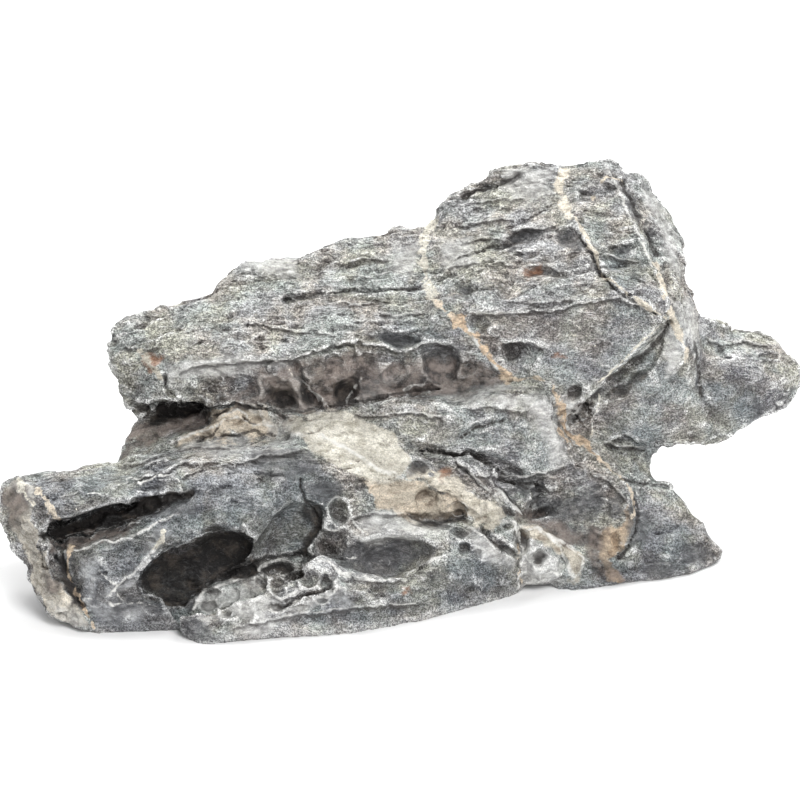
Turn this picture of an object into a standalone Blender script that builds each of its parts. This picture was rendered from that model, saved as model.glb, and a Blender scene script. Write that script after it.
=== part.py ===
"""Seiryu stone: one weathered lump of grey limestone, built as a single solid.

It is a heap of tilted, broken beds. A thick upper slab and its peak overhang a recess, a blunt arm and a
foot reach out to the right, a slotted block and a long pitted ridge come forward on the left, and a calcite
slope runs between them. Sizes are in millimetres. The solid is in metres, +Z up, with the origin under the
middle of its box, on the surface it rests on.
"""

import math

import bmesh
import bpy
import numpy as np
from mathutils import Matrix, Vector, noise
from mathutils.bvhtree import BVHTree

# Driving dimensions, in millimetres.
MM = 0.001
FACE_LEAN = math.radians(22.0)  # the stone's front is drawn on a face that leans back this far
CENTRE = (1.8, 96.0)  # middle of the stone's box, from the foremost point that touches the ground
VOXEL = 1.6  # grain of the solid before it is thinned out
SOFTENING = 2  # rounds of smoothing that take the edge off the blocks
TRIANGLES = 9600
FLAT_SOLE = 0.7  # anything this close to the ground is worn flat onto it
STONE_COLOUR = (0.19, 0.19, 0.2, 1.0)
STONE_ROUGHNESS = 0.85

# Weathering, in millimetres where it is a size.
REAR_LUMP_SIZE, REAR_LUMP_DEPTH = 34.0, 5.0  # the side turned away is the more broken one
LUMP_SIZE, LUMP_DEPTH = 24.0, 1.6
BUMP_SIZE, BUMP_DEPTH = 11.0, 1.2
BED_RISE = (-0.085, -0.49, 1.0)  # the way the beds are stacked: they tip toward the front
BED_THICKNESS, BED_DEPTH, BED_WAVE = 13.0, 1.8, 1.1
CUP_SIZE, CUP_DEPTH = 15.0, 2.2
CUP_TOP, CUP_FADE = 84.0, 20.0  # cups are worn only this far up the leaning face, and fade in below that
GROUND_FADE = 4.0  # nothing is worn at the ground, and all of it this high above
LONG_SIDE = 0.7  # share of a bed's thickness over which it swells before it breaks back
PATCHY_MIDDLE, PATCHY_SWING = 0.4, 1.4  # beds stand out in some places and not in others
TURNED_AWAY_GAIN = 1.5  # how soon the side turned away gets its larger lumps
SHIFTS = dict(lumps=3.1, bumps=7.7, rear=1.7, beds=11.3, patches=15.1, cups=5.9)  # keep the noises apart

# Each block of the stone is the hull of its corners. A corner of "face" is (across, up, deep): across to the
# right, up the leaning face and deep into the stone. A corner of "rear" is upright: (x, y back, z up).
BLOCKS = {
    "slab_west": dict(
        face=[
            (-94, 106, 56), (-86, 111, 54), (-70, 113, 54), (-50, 114, 55), (-93, 96, 58), (-78, 93, 59),
            (-56, 93, 61), (-102, 134, 80), (-80, 138, 81), (-68, 140, 80), (-50, 140, 76),
        ],
        rear=[(-102, 150, 62), (-60, 166, 60), (-92, 144, 88), (-60, 156, 86)],
    ),
    "slab_middle": dict(
        face=[
            (-74, 112, 54), (-40, 114, 55), (-26, 116, 56), (-18, 120, 58), (-12, 119, 59), (-60, 94, 61),
            (-40, 93, 63), (-20, 97, 65), (-8, 100, 66), (-75, 141, 83), (-71, 144, 85), (-66, 149, 88),
            (-62, 151, 88), (-51, 151, 88), (-40, 146, 85), (-20, 150, 88),
        ],
        rear=[(-76, 160, 60), (-10, 176, 64), (-68, 152, 98), (-40, 164, 100), (-10, 168, 100)],
    ),
    "slab_east": dict(
        face=[
            (-44, 116, 58), (-18, 119, 58), (0, 117, 59), (16, 120, 60), (20, 118, 60), (-30, 95, 65),
            (16, 101, 68), (-43, 152, 91), (-36, 156, 92), (-23, 162, 96), (-14, 164, 97), (8, 166, 100),
            (16, 169, 102), (24, 168, 96),
        ],
        rear=[(-44, 165, 62), (24, 180, 64), (-36, 166, 98), (18, 178, 104)],
    ),
    "slab_nose": dict(
        face=[
            (-117, 119, 73), (-115, 127, 78), (-109, 132, 80), (-98, 136, 81), (-117, 111, 68),
            (-112, 103, 66), (-109, 95, 68), (-106, 88, 71), (-103, 112, 60), (-104, 106, 60),
            (-98, 98, 60), (-94, 106, 57), (-86, 91, 64), (-88, 112, 57), (-101, 89, 70),
        ],
        rear=[(-112, 128, 84), (-108, 140, 66), (-80, 150, 62)],
    ),
    "slab_corner": dict(
        face=[
            (10, 124, 62), (30, 126, 62), (44, 122, 63), (56, 116, 64), (10, 102, 68), (36, 103, 70),
            (58, 103, 68), (60, 112, 66),
        ],
        rear=[(10, 160, 70), (60, 160, 64), (40, 160, 100)],
    ),
    "peak": dict(
        face=[
            (12, 129, 63), (30, 133, 60), (64, 135, 56), (88, 138, 56), (108, 131, 61), (13, 171, 102),
            (21, 179, 104), (31, 187, 106), (40, 191.5, 107), (48, 193, 108), (64, 195, 108),
            (84, 196, 106), (90, 192, 102), (91, 182, 92), (98, 165, 82), (104, 149, 71), (108, 137, 65),
            (58, 103, 65), (36, 104, 69), (70, 91, 69), (80, 101, 66), (96, 117, 62),
        ],
        rear=[(20, 182, 70), (60, 190, 62), (96, 184, 60), (40, 190, 104), (84, 186, 112)],
    ),
    "peak_flank": dict(
        face=[
            (88, 192, 102), (91, 182, 95), (98, 164, 88), (104, 149, 79), (108, 137, 71), (110, 128, 68),
            (99, 187.5, 110), (104, 181, 110), (110, 174, 108), (115, 164, 102), (115, 156, 100),
            (114, 150, 97), (114, 144, 92), (107, 160, 92),
        ],
        rear=[(108, 178, 110), (114, 168, 92), (112, 160, 60), (90, 178, 60), (90, 186, 112)],
    ),
    "peak_shoulder": dict(
        face=[
            (108, 140, 72), (113, 142, 84), (116, 139, 88), (119, 136, 90), (122, 130, 94), (120, 118, 84),
            (120, 106, 84), (114, 118, 73), (110, 128, 67), (118, 126, 78), (119, 98, 86),
        ],
        rear=[(116, 160, 90), (118, 156, 60), (100, 170, 60), (100, 170, 100)],
    ),
    "crack_wedge": dict(
        face=[
            (107, 127, 70), (112, 122, 71), (115, 115, 72), (115, 111, 73), (109, 105, 77), (96, 103, 77),
            (86, 102, 76), (70, 90, 76), (74, 88, 78), (100, 114, 72),
        ],
        rear=[(104, 150, 70), (72, 140, 56), (112, 150, 84)],
    ),
    "arm_root": dict(
        face=[
            (78, 98, 80), (96, 101, 80), (110, 104, 80), (115, 110, 79), (120, 99, 85), (125, 90, 91),
            (128, 80, 96), (112, 80, 92), (106, 79, 90), (82, 75, 80), (77, 82, 78), (100, 90, 79),
        ],
        rear=[(84, 160, 62), (120, 158, 64), (124, 150, 44), (90, 150, 34)],
    ),
    "arm_knee": dict(
        face=[
            (118, 129, 98), (127, 130, 102), (131, 128, 104), (134, 123, 104), (126, 117, 93), (120, 110, 88),
        ],
        rear=[(116, 150, 80), (132, 150, 69), (120, 156, 60)],
    ),
    "arm_end": dict(
        face=[
            (120, 120, 98), (134, 123, 103), (148, 124, 107), (155, 122, 108), (161, 116, 109),
            (163.5, 109, 108), (163.5, 104, 106), (160, 98, 104), (156, 94, 103), (150, 89.5, 101),
            (144, 87, 100), (140, 84, 100), (136, 83, 99), (136, 113, 93), (148, 105, 95), (128, 112, 91),
            (121, 97, 88), (133, 92, 93),
        ],
        rear=[(122, 160, 70), (146, 154, 65), (160, 148, 60), (152, 148, 50), (126, 152, 44)],
    ),
    "arm_heel": dict(
        face=[
            (124, 92, 91), (136, 84, 96), (134, 80, 98), (130, 78, 98), (125, 78, 98), (118, 80, 95),
            (118, 94, 88),
        ],
        rear=[(120, 150, 44), (132, 148, 42), (126, 150, 60)],
    ),
    "right_body": dict(
        face=[
            (50, 74, 66), (58, 66, 62), (80, 76, 70), (92, 62, 66), (95, 52, 65), (96, 44, 65),
            (102, 74, 88), (101, 66, 84), (103, 63, 82), (62, 20.8, 52), (70, 19.8, 50), (86, 21.8, 53),
            (96, 23.8, 57), (58, 40, 60), (78, 44, 59), (86, 36, 58),
        ],
        rear=[(40, 160, 0), (99, 146, 0), (100, 150, 50), (40, 165, 60)],
    ),
    "right_foot": dict(
        face=[
            (96, 60, 73), (103, 63, 82), (108, 64, 82), (112, 57, 82), (117, 51, 81), (124, 45, 80),
            (132, 36, 79), (130, 31, 75), (118, 26.2, 64), (104, 24, 58), (92, 22.8, 56), (96, 46, 66),
            (112, 40, 66),
        ],
        rear=[(98, 128, 0), (114, 118, 0), (111, 118, 8), (98, 132, 20)],
    ),
    "ledge_right": dict(
        face=[
            (22, 99, 64), (40, 103, 67), (54, 104, 69), (20, 93, 53), (40, 97, 53), (55, 98, 56),
            (61, 93, 59), (65, 83, 60), (69, 72, 64), (67, 68, 63), (60, 64, 61), (55, 65, 58),
            (51, 69, 56), (40, 76, 54), (26, 81, 53),
        ],
        rear=[(30, 120, 50), (66, 118, 46), (60, 116, 66)],
    ),
    "ledge_left": dict(
        face=[
            (-30, 93, 65), (-12, 98, 65), (4, 98, 64), (20, 99, 64), (-20, 92, 58), (-6, 95, 54),
            (14, 96, 51), (20, 92, 50), (-4, 83, 49), (6, 79, 48), (18, 79, 50), (23, 85, 51),
        ],
        rear=[(-26, 116, 60), (24, 118, 60), (20, 112, 44)],
    ),
    "calcite_slope": dict(
        face=[
            (-50, 89, 62), (-36, 93, 63), (-20, 92, 59), (-2, 82, 53), (8, 77, 52), (26, 68, 52),
            (38, 56, 51), (33, 50, 47), (24, 58, 44), (12, 66, 41), (-8, 71, 40), (-24, 76, 42),
            (-40, 81, 48), (-28, 68, 36), (-6, 60, 38), (-30, 58, 35),
        ],
        rear=[(-50, 120, 50), (30, 110, 30), (-30, 90, 10), (20, 96, 10)],
    ),
    "calcite_lip": dict(
        face=[
            (2, 72, 44), (8, 66, 41), (20, 64, 41), (28, 60, 43), (34, 54, 45), (40, 52, 50), (40, 56, 53),
            (30, 68, 53), (8, 60, 40), (16, 56, 41), (30, 50, 47),
        ],
        rear=[(10, 90, 30), (36, 90, 26)],
    ),
    "left_block_west": dict(
        face=[
            (-150, 66, 34), (-144, 67.5, 42), (-136, 67, 44), (-128, 69, 48), (-116, 71, 52),
            (-142, 46, 19), (-136, 48, 16), (-120, 53, 15), (-112, 56, 16), (-110, 70, 38), (-145, 60, 26),
            (-140, 62, 27), (-118, 62, 23),
        ],
        rear=[(-140, 74, 36), (-112, 94, 36), (-112, 64, 34), (-138, 56, 34)],
    ),
    "left_block_fold": dict(
        face=[
            (-124, 60, 20), (-112, 56, 16), (-96, 58, 17), (-88, 60, 18), (-90, 70, 26), (-100, 66, 24),
            (-116, 66, 30), (-108, 73, 46), (-96, 77, 55), (-88, 71, 30),
        ],
        rear=[(-116, 90, 40), (-84, 100, 44), (-90, 60, 36)],
    ),
    "left_shelf": dict(
        face=[
            (-114, 71, 54), (-100, 76, 60), (-80, 81, 63), (-60, 83, 64), (-34, 84, 62), (-90, 70, 29),
            (-80, 72, 29), (-56, 73, 34), (-36, 79, 45), (-30, 76, 45), (-88, 60, 19), (-78, 58, 18),
            (-60, 60, 22), (-40, 62, 30), (-30, 64, 36), (-72, 66, 22), (-34, 70, 36),
        ],
        rear=[(-108, 92, 38), (-60, 112, 44), (-30, 100, 40), (-70, 60, 34)],
    ),
    "left_block_face": dict(
        face=[
            (-141, 37, 23), (-128, 39, 18), (-118, 41, 15), (-100, 45, 12), (-84, 55, 16), (-78, 58, 18),
            (-60, 61, 21), (-36, 64, 32), (-28, 58, 36), (-122, 4, 10), (-106, 5, 11), (-88, 5, 13),
            (-127, 17, 12), (-116, 18, 7), (-96, 18, 7), (-86, 26, 9), (-60, 48, 19), (-30, 50, 38),
        ],
        rear=[(-132, 60, 0), (-120, 90, 0), (-30, 90, 0), (-30, 90, 40), (-130, 76, 34)],
    ),
    "left_block_floor": dict(
        face=[
            (-90, 12, 13), (-60, 34, 26), (-44, 40, 31), (-28, 46, 34), (-24, 30, 28), (-44, 22, 20),
            (-66, 18, 15), (-84, 6, 12),
        ],
        rear=[(-90, 70, 0), (-28, 90, 0), (-28, 90, 30)],
    ),
    "left_cap": dict(
        face=[
            (-154, 66.5, 34), (-159, 64, 35), (-162, 58, 36), (-161.5, 52, 34), (-157, 43, 30),
            (-150, 29, 25), (-144, 17, 21), (-138, 10, 16), (-130, 6, 11), (-125, 4, 9), (-149, 65, 28),
            (-145, 50, 21), (-141, 39, 17), (-138, 29, 14), (-131, 18, 10), (-124, 8, 8),
        ],
        rear=[(-148, 72, 34), (-150, 66, 20), (-138, 60, 0), (-128, 60, 0), (-140, 74, 36)],
    ),
    "ridge_left": dict(
        face=[
            (-87, 2, 7), (-86, 15, 8), (-80, 18, 5), (-68, 22, 7), (-57, 26, 9), (-50, 24, 11),
            (-40, 24, 13), (-78, 0, 0), (-73, 0, 0), (-40, 3, 6), (-60, 10, 2), (-86, 8, 4),
        ],
        rear=[(-84, 34, 0), (-40, 40, 0), (-50, 34, 16)],
    ),
    "ridge_tooth": dict(
        face=[
            (-42, 22, 12), (-39, 28, 14), (-35, 32, 16), (-31, 33.5, 17), (-26, 31, 18), (-22, 27, 17),
            (-32, 20, 9),
        ],
        rear=[(-40, 46, 0), (-24, 50, 0), (-32, 46, 22)],
    ),
    "ridge_middle": dict(
        face=[
            (-50, 20, 10), (-42, 24, 13), (-22, 27, 17), (-12, 26, 19), (-4, 24, 21), (2, 26, 23),
            (14, 31, 28), (-40, 2, 6), (-20, 3.5, 10), (0, 7, 18), (12, 10, 26), (-36, 18, 6), (-8, 17, 13),
            (8, 19, 21),
        ],
        rear=[(-46, 46, 0), (10, 66, 0), (0, 50, 20)],
    ),
    "ridge_right": dict(
        face=[
            (0, 26, 24), (8, 30, 27), (16, 34, 29), (24, 39, 33), (32, 42, 36), (40, 42, 40), (47, 36, 45),
            (49, 34, 47), (20, 10.5, 30), (32, 14, 37), (46, 18, 46), (49, 21, 48), (24, 26, 30),
            (40, 30, 38), (4, 7.5, 19),
        ],
        rear=[(10, 80, 0), (50, 100, 0), (30, 90, 30)],
    ),
    "ridge_knobs": dict(
        face=[
            (30, 47, 46), (38, 49, 48), (44, 46, 50), (52, 48, 53), (58, 46, 55), (66, 41, 57),
            (73, 37, 59), (75, 31, 60), (72, 26, 58), (66, 24, 56), (48, 21, 47), (47, 33, 43),
            (60, 32, 48), (38, 40, 42),
        ],
        rear=[(50, 100, 0), (70, 96, 0), (66, 100, 26), (34, 90, 26)],
    ),
    "bowl_rim": dict(
        face=[
            (-20, 47, 35), (-14, 51, 36), (-8, 52, 37), (4, 51, 39), (12, 48, 40), (22, 46, 42),
            (30, 44, 44), (-28, 34, 27), (0, 28, 26), (16, 34, 31), (26, 40, 36), (-30, 44, 32),
            (-22, 42, 30), (10, 43, 33), (-10, 44, 31),
        ],
        rear=[(-34, 80, 0), (30, 90, 0), (30, 90, 36), (-30, 90, 40)],
    ),
    "saddle": dict(
        face=[
            (-28, 62, 37), (-20, 60, 37), (-14, 54, 37), (-24, 50, 33), (-30, 46, 32), (-34, 40, 30),
            (-30, 32, 27), (-18, 46, 34), (-30, 56, 36),
        ],
        rear=[(-34, 80, 20), (-14, 90, 30), (-20, 80, 0)],
    ),
    "under_ledge": dict(
        face=[
            (2, 84, 53), (10, 82, 51), (20, 88, 57), (24, 80, 52), (40, 72, 57), (52, 64, 61), (58, 62, 63),
            (54, 50, 62), (44, 50, 56), (34, 60, 50), (26, 68, 48), (10, 76, 49), (60, 40, 62),
            (44, 60, 54),
        ],
        rear=[(10, 120, 40), (60, 120, 30), (30, 110, 0)],
    ),
    "left_neck": dict(
        face=[
            (-115.5, 72, 63), (-114, 76, 66), (-109, 81, 70), (-104, 86, 76), (-84, 90, 74), (-50, 90, 70),
            (-104, 75, 60), (-90, 80, 62), (-60, 85, 64),
        ],
        rear=[(-108, 120, 30), (-100, 124, 60), (-60, 130, 30), (-50, 130, 70)],
    ),
    "seam_low": dict(
        face=[
            (-101, 77, 59), (-90, 82, 60), (-76, 86, 60), (-64, 90, 61), (-56, 88, 60), (-46, 88, 60),
            (-46, 84, 58), (-60, 83, 58), (-80, 81, 58),
        ],
        rear=[(-100, 110, 50), (-46, 116, 50), (-60, 116, 60)],
    ),
    "seam_high": dict(
        face=[
            (-80, 91, 62), (-70, 95, 62), (-60, 97, 61), (-50, 94, 62), (-44, 90, 62), (-60, 88, 59),
            (-76, 87, 62),
        ],
        rear=[(-80, 116, 56), (-46, 120, 56), (-60, 120, 66)],
    ),
    "seam_right": dict(
        face=[
            (-36, 95, 66), (-16, 99, 67), (4, 101, 67), (14, 104, 67), (30, 104, 68), (44, 104, 69),
            (40, 99, 67), (0, 97, 63), (-30, 92, 63),
        ],
        rear=[(-36, 124, 60), (44, 130, 60), (0, 124, 70)],
    ),
    "core": dict(
        face=[(-90, 90, 80), (-40, 97, 78), (0, 100, 76), (60, 100, 76), (80, 84, 80)],
        rear=[
            (-110, 66, 0), (-70, 60, 0), (60, 84, 0), (96, 140, 0), (60, 172, 0), (-30, 166, 0),
            (-92, 140, 0), (-104, 136, 50), (-40, 170, 66), (40, 184, 74), (94, 176, 70), (90, 150, 50),
        ],
    ),
    "rear_bench": dict(
        face=[],
        rear=[
            (-86, 138, 0), (-20, 170, 0), (40, 176, 0), (84, 164, 0), (-80, 148, 34), (-24, 176, 40),
            (44, 180, 46), (86, 172, 40), (-60, 120, 40), (60, 130, 46), (70, 128, 0), (-70, 110, 0),
        ],
    ),
    "rear_boss_left": dict(
        face=[],
        rear=[
            (-76, 140, 0), (-70, 160, 3), (-56, 176, 8), (-34, 182, 6), (-18, 172, 0), (-68, 158, 30),
            (-50, 172, 34), (-30, 176, 26), (-40, 150, 44), (-20, 150, 0),
        ],
    ),
    "rear_boss_right": dict(
        face=[],
        rear=[
            (22, 176, 0), (32, 189, 8), (56, 191, 14), (72, 180, 0), (80, 172, 22), (36, 188, 34),
            (62, 186, 42), (22, 160, 30), (74, 150, 48), (60, 150, 0),
        ],
    ),
    "rear_shelf": dict(
        face=[],
        rear=[
            (-70, 168, 62), (-48, 178, 66), (-10, 186, 70), (20, 188, 76), (30, 180, 88), (-20, 178, 84),
            (-60, 166, 78), (-60, 140, 60), (20, 150, 66), (20, 160, 94), (-50, 150, 90),
        ],
    ),
}

# Hollows cut from the blocks: hulls again, or rounded scoops given by centre and half sizes in the face's own
# directions, turned by "turn" degrees anticlockwise on the face.
HOLLOWS = {
    "slot": dict(
        face=[
            (-142, 43, 10), (-141, 40, 10), (-136, 46, 8), (-120, 51, 8), (-100, 55.5, 8), (-86, 59, 10),
            (-81, 57.5, 12), (-90, 54, 8), (-104, 50, 8), (-124, 44, 8), (-139, 42, 40), (-120, 47, 42),
            (-90, 56, 40), (-136, 40, 40), (-100, 51, 42),
        ],
        rear=[],
    ),
    "cap_groove": dict(
        face=[
            (-141, 40, 10), (-135, 39, 6), (-136, 30, 8), (-131, 22, 6), (-129, 16, 4), (-132, 17, 6),
            (-137, 27, 20), (-139, 38, 26), (-134, 36, 22),
        ],
        rear=[],
    ),
}
SCOOPS = {
    "cave": dict(centre=(-81, 29, 14), half=(24, 11.5, 18), turn=15),
    "cave_roof": dict(centre=(-69, 36, 18), half=(13, 9, 15), turn=12),
    "under_nose": dict(centre=(-92, 92, 64), half=(17, 3.2, 12), turn=3),
    "cave_mouth": dict(centre=(-68, 22, 14), half=(26, 9, 12), turn=22),
    "hollow_east": dict(centre=(-43, 43, 23), half=(18, 11, 16), turn=42),
    "bowl": dict(centre=(-2, 35.5, 25), half=(18, 9.5, 12), turn=8),
    "bowl_left": dict(centre=(-28, 41, 29), half=(8, 7, 9), turn=50),
    "lip_pocket": dict(centre=(14, 50, 38), half=(14, 4.5, 8), turn=-10),
    "lip_dish": dict(centre=(9, 59, 36), half=(5, 5, 8), turn=0),
    "rear_recess": dict(centre=(-8, 117, 143), half=(30, 7, 11), turn=4),
    "rear_hollow": dict(centre=(2, 88, 163), half=(14, 16, 9), turn=-20),
    "rear_pocket": dict(centre=(74, 128, 147), half=(14, 9, 8), turn=30),
    "under_ledge_hole": dict(centre=(58, 54, 58), half=(10, 3, 10), turn=20),
}


# Creases are bent lines on the leaning face, then half width and depth. A negative depth stands proud.
CREASES = {
    "bed_west": ([(-46, 137), (-38, 138), (-30, 136), (-22, 138), (-19, 141)], 1.6, 2.2),
    "bed_peak_low": ([(24, 154), (40, 159), (56, 163)], 1.8, 2.0),
    "bed_peak_top": ([(26, 179), (40, 184), (48, 187)], 1.6, 2.0),
    "ridge_groove": ([(90, 183), (97, 170), (103, 154), (108, 140)], 2.2, 2.5),
    "wedge_crack": ([(107, 128), (102, 121), (89, 109), (82, 105), (74, 95), (69, 89)], 1.8, 3.5),
    "rib": ([(71, 167), (79, 155), (84, 145), (93, 137), (107, 129)], 1.6, -1.4),
    "arm_crease": ([(107, 106), (120, 99), (125, 91), (132, 86)], 2.0, 3.0),
    "ledge_crack": ([(9, 77), (24, 75), (36, 73), (48, 67)], 1.6, 4.0),
    "ledge_line": ([(25, 82), (32, 87), (41, 89)], 1.4, 1.5),
    "under_slab": ([(-76, 93), (-60, 94), (-44, 96), (-20, 99)], 2.0, 4.0),
    "behind_ridge": ([(-72, 25), (-56, 29), (-43, 30), (-37, 34), (-30, 37), (-25, 34)], 2.2, 5.0),
    "seam": ([(-100, 80), (-88, 86), (-74, 90), (-56, 87), (-46, 82)], 1.8, 2.0),
}
# Pits, each (across, up, half across, half up, depth).
PITS = [
    (48, 162, 6, 3, 2.0), (66, 161, 8, 5, 2.5), (75, 179, 5, 4, 1.5), (88, 154, 5, 5, 2.0),
    (56, 149, 6, 4, 1.5), (26, 140, 7, 4, 2.0), (35, 130, 10, 4, 2.0), (0, 120, 8, 5, 3.0),
    (16, 113, 7, 5, 3.0), (44, 117, 7, 4, 2.5), (69, 99, 5, 6, 3.0), (-48, 97, 4, 5, 2.0),
    (-34, 99, 4, 6, 3.0), (-20, 102, 5, 5, 2.0), (130, 117, 6, 4, 2.0), (-26, 51, 6, 5, 2.5),
    (-72, 13, 6, 4, 2.0), (-46, 22, 6, 5, 2.5), (24, 38, 6, 4, 2.5), (10, 57, 6, 5, 2.5),
    (-104, 24, 8, 8, 2.0), (48, 41, 5, 5, 2.0), (64, 36, 5, 4, 2.0),
]


def on_face(across, up, deep):
    """A corner on the leaning face, as an upright point in millimetres."""
    return Vector((
        across,
        up * math.sin(FACE_LEAN) + deep * math.cos(FACE_LEAN),
        up * math.cos(FACE_LEAN) - deep * math.sin(FACE_LEAN),
    ))


def placed(point):
    """An upright point in millimetres, in the solid's own frame in metres."""
    return (Vector(point) - Vector((*CENTRE, 0))) * MM


def helper_collection(name):
    collection = bpy.data.collections.new(name)
    bpy.context.scene.collection.children.link(collection)
    collection.hide_render = True
    return collection


def add_helper(name, mesh, collection):
    """Keeps a mesh as a guide that a Boolean reads and that isn't part of the stone."""
    obj = bpy.data.objects.new(name, mesh)
    obj.hide_render = True
    obj.display_type = "WIRE"
    collection.objects.link(obj)
    return obj


def hull_mesh(name, points):
    """The closed hull of some points."""
    mesh = bpy.data.meshes.new(name)
    bm = bmesh.new()
    for point in points:
        bm.verts.new(placed(point))
    made = bmesh.ops.convex_hull(bm, input=bm.verts)
    inner = {v for v in made["geom_interior"] if isinstance(v, bmesh.types.BMVert)}
    bmesh.ops.delete(bm, geom=list(inner), context="VERTS")
    bmesh.ops.recalc_face_normals(bm, faces=bm.faces)
    bm.to_mesh(mesh)
    bm.free()
    return mesh


def block_mesh(name, shape):
    return hull_mesh(name, [on_face(*p) for p in shape["face"]] + [Vector(p) for p in shape["rear"]])


def scoop_mesh(name, centre, half, turn):
    """A ball stretched to half sizes along the leaning face's directions."""
    mesh = bpy.data.meshes.new(name)
    bm = bmesh.new()
    bmesh.ops.create_icosphere(bm, subdivisions=3, radius=1.0)
    spin = Matrix.Rotation(math.radians(turn), 3, "Z")
    for vert in bm.verts:
        across, up, toward = spin @ Vector(a * b for a, b in zip(vert.co, half))
        vert.co = placed(on_face(centre[0] + across, centre[1] + up, centre[2] - toward))
    bmesh.ops.recalc_face_normals(bm, faces=bm.faces)
    bm.to_mesh(mesh)
    bm.free()
    return mesh


def evaluated_mesh(obj):
    graph = bpy.context.evaluated_depsgraph_get()
    return bpy.data.meshes.new_from_object(obj.evaluated_get(graph))


def rough_block_heap():
    """The blocks joined, the hollows cut, and the whole turned into one even skin."""
    blocks = helper_collection("blocks")
    hollows = helper_collection("hollows")
    for name, shape in BLOCKS.items():
        add_helper(name, block_mesh(name, shape), blocks)
    for name, shape in HOLLOWS.items():
        add_helper(name, block_mesh(name, shape), hollows)
    for name, scoop in SCOOPS.items():
        add_helper(name, scoop_mesh(name, **scoop), hollows)
    seed = block_mesh("seed", BLOCKS["core"])
    stone = bpy.data.objects.new("stone", seed)
    bpy.context.scene.collection.objects.link(stone)
    join = stone.modifiers.new("join blocks", "BOOLEAN")
    join.operation = "UNION"
    join.operand_type = "COLLECTION"
    join.collection = blocks
    cut = stone.modifiers.new("cut hollows", "BOOLEAN")
    cut.operation = "DIFFERENCE"
    cut.operand_type = "COLLECTION"
    cut.collection = hollows
    skin = stone.modifiers.new("even skin", "REMESH")
    skin.mode = "VOXEL"
    skin.voxel_size = VOXEL * MM
    soften = stone.modifiers.new("soften", "SMOOTH")
    soften.factor = 0.5
    soften.iterations = SOFTENING
    stone.data = evaluated_mesh(stone)
    stone.modifiers.clear()
    return stone


def keep_outer_skin(mesh):
    """Drops the skins of gaps that the blocks close in, so that the stone is solid right through."""
    bm = bmesh.new()
    bm.from_mesh(mesh)
    unseen = set(bm.verts)
    largest = []
    while unseen:
        island = [unseen.pop()]
        for vert in island:
            for edge in vert.link_edges:
                other = edge.other_vert(vert)
                if other in unseen:
                    unseen.remove(other)
                    island.append(other)
        largest = max(largest, island, key=len)
    outer = set(largest)
    bmesh.ops.delete(bm, geom=[v for v in bm.verts if v not in outer], context="VERTS")
    bm.to_mesh(mesh)
    bm.free()


def read_points(mesh):
    """The skin's corners as upright points in millimetres, and the way each one faces."""
    points = np.empty((len(mesh.vertices), 3))
    facing = np.empty((len(mesh.vertices), 3))
    mesh.vertices.foreach_get("co", points.ravel())
    mesh.vertices.foreach_get("normal", facing.ravel())
    return points / MM + np.array([*CENTRE, 0.0]), facing


def write_points(mesh, points):
    mesh.vertices.foreach_set("co", ((points - np.array([*CENTRE, 0.0])) * MM).ravel())
    mesh.update()


def face_coordinates(points):
    """Upright points as (across, up) on the leaning face."""
    across, back, height = points.T
    return across, back * math.sin(FACE_LEAN) + height * math.cos(FACE_LEAN)


def seen_from_front(mesh, points):
    """Marks the corners with nothing of the stone in front of them."""
    tree = BVHTree.FromPolygons([v.co for v in mesh.vertices], [p.vertices for p in mesh.polygons])
    toward = Vector((0.0, -math.cos(FACE_LEAN), math.sin(FACE_LEAN)))
    clear = VOXEL * MM
    return np.array([tree.ray_cast(v.co + toward * clear, toward)[0] is None for v in mesh.vertices])


def distance_to_line(across, up, line):
    """How far each point is from a bent line on the leaning face."""
    nearest = np.full(len(across), np.inf)
    for (start_across, start_up), (end_across, end_up) in zip(line, line[1:]):
        run = np.array([end_across - start_across, end_up - start_up])
        along = ((across - start_across) * run[0] + (up - start_up) * run[1]) / (run @ run)
        along = np.clip(along, 0.0, 1.0)
        gap = np.hypot(across - start_across - along * run[0], up - start_up - along * run[1])
        nearest = np.minimum(nearest, gap)
    return nearest


def noise_at(points, size, shift):
    """Smooth noise between about -1 and 1, with lumps of the given size."""
    offset = Vector((shift, -shift, 0.5 * shift))
    return np.array([noise.noise(Vector(p) / size + offset) for p in points])


def cups_at(points, size, shift):
    """Shallow cups that meet in rims: 0 on a rim, 1 in the middle of a cup."""
    offset = Vector((shift, shift, -shift))
    depths = []
    for point in points:
        near, second = noise.voronoi(Vector(point) / size + offset)[0][:2]
        depths.append(min(1.0, second - near))
    return np.array(depths)


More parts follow.
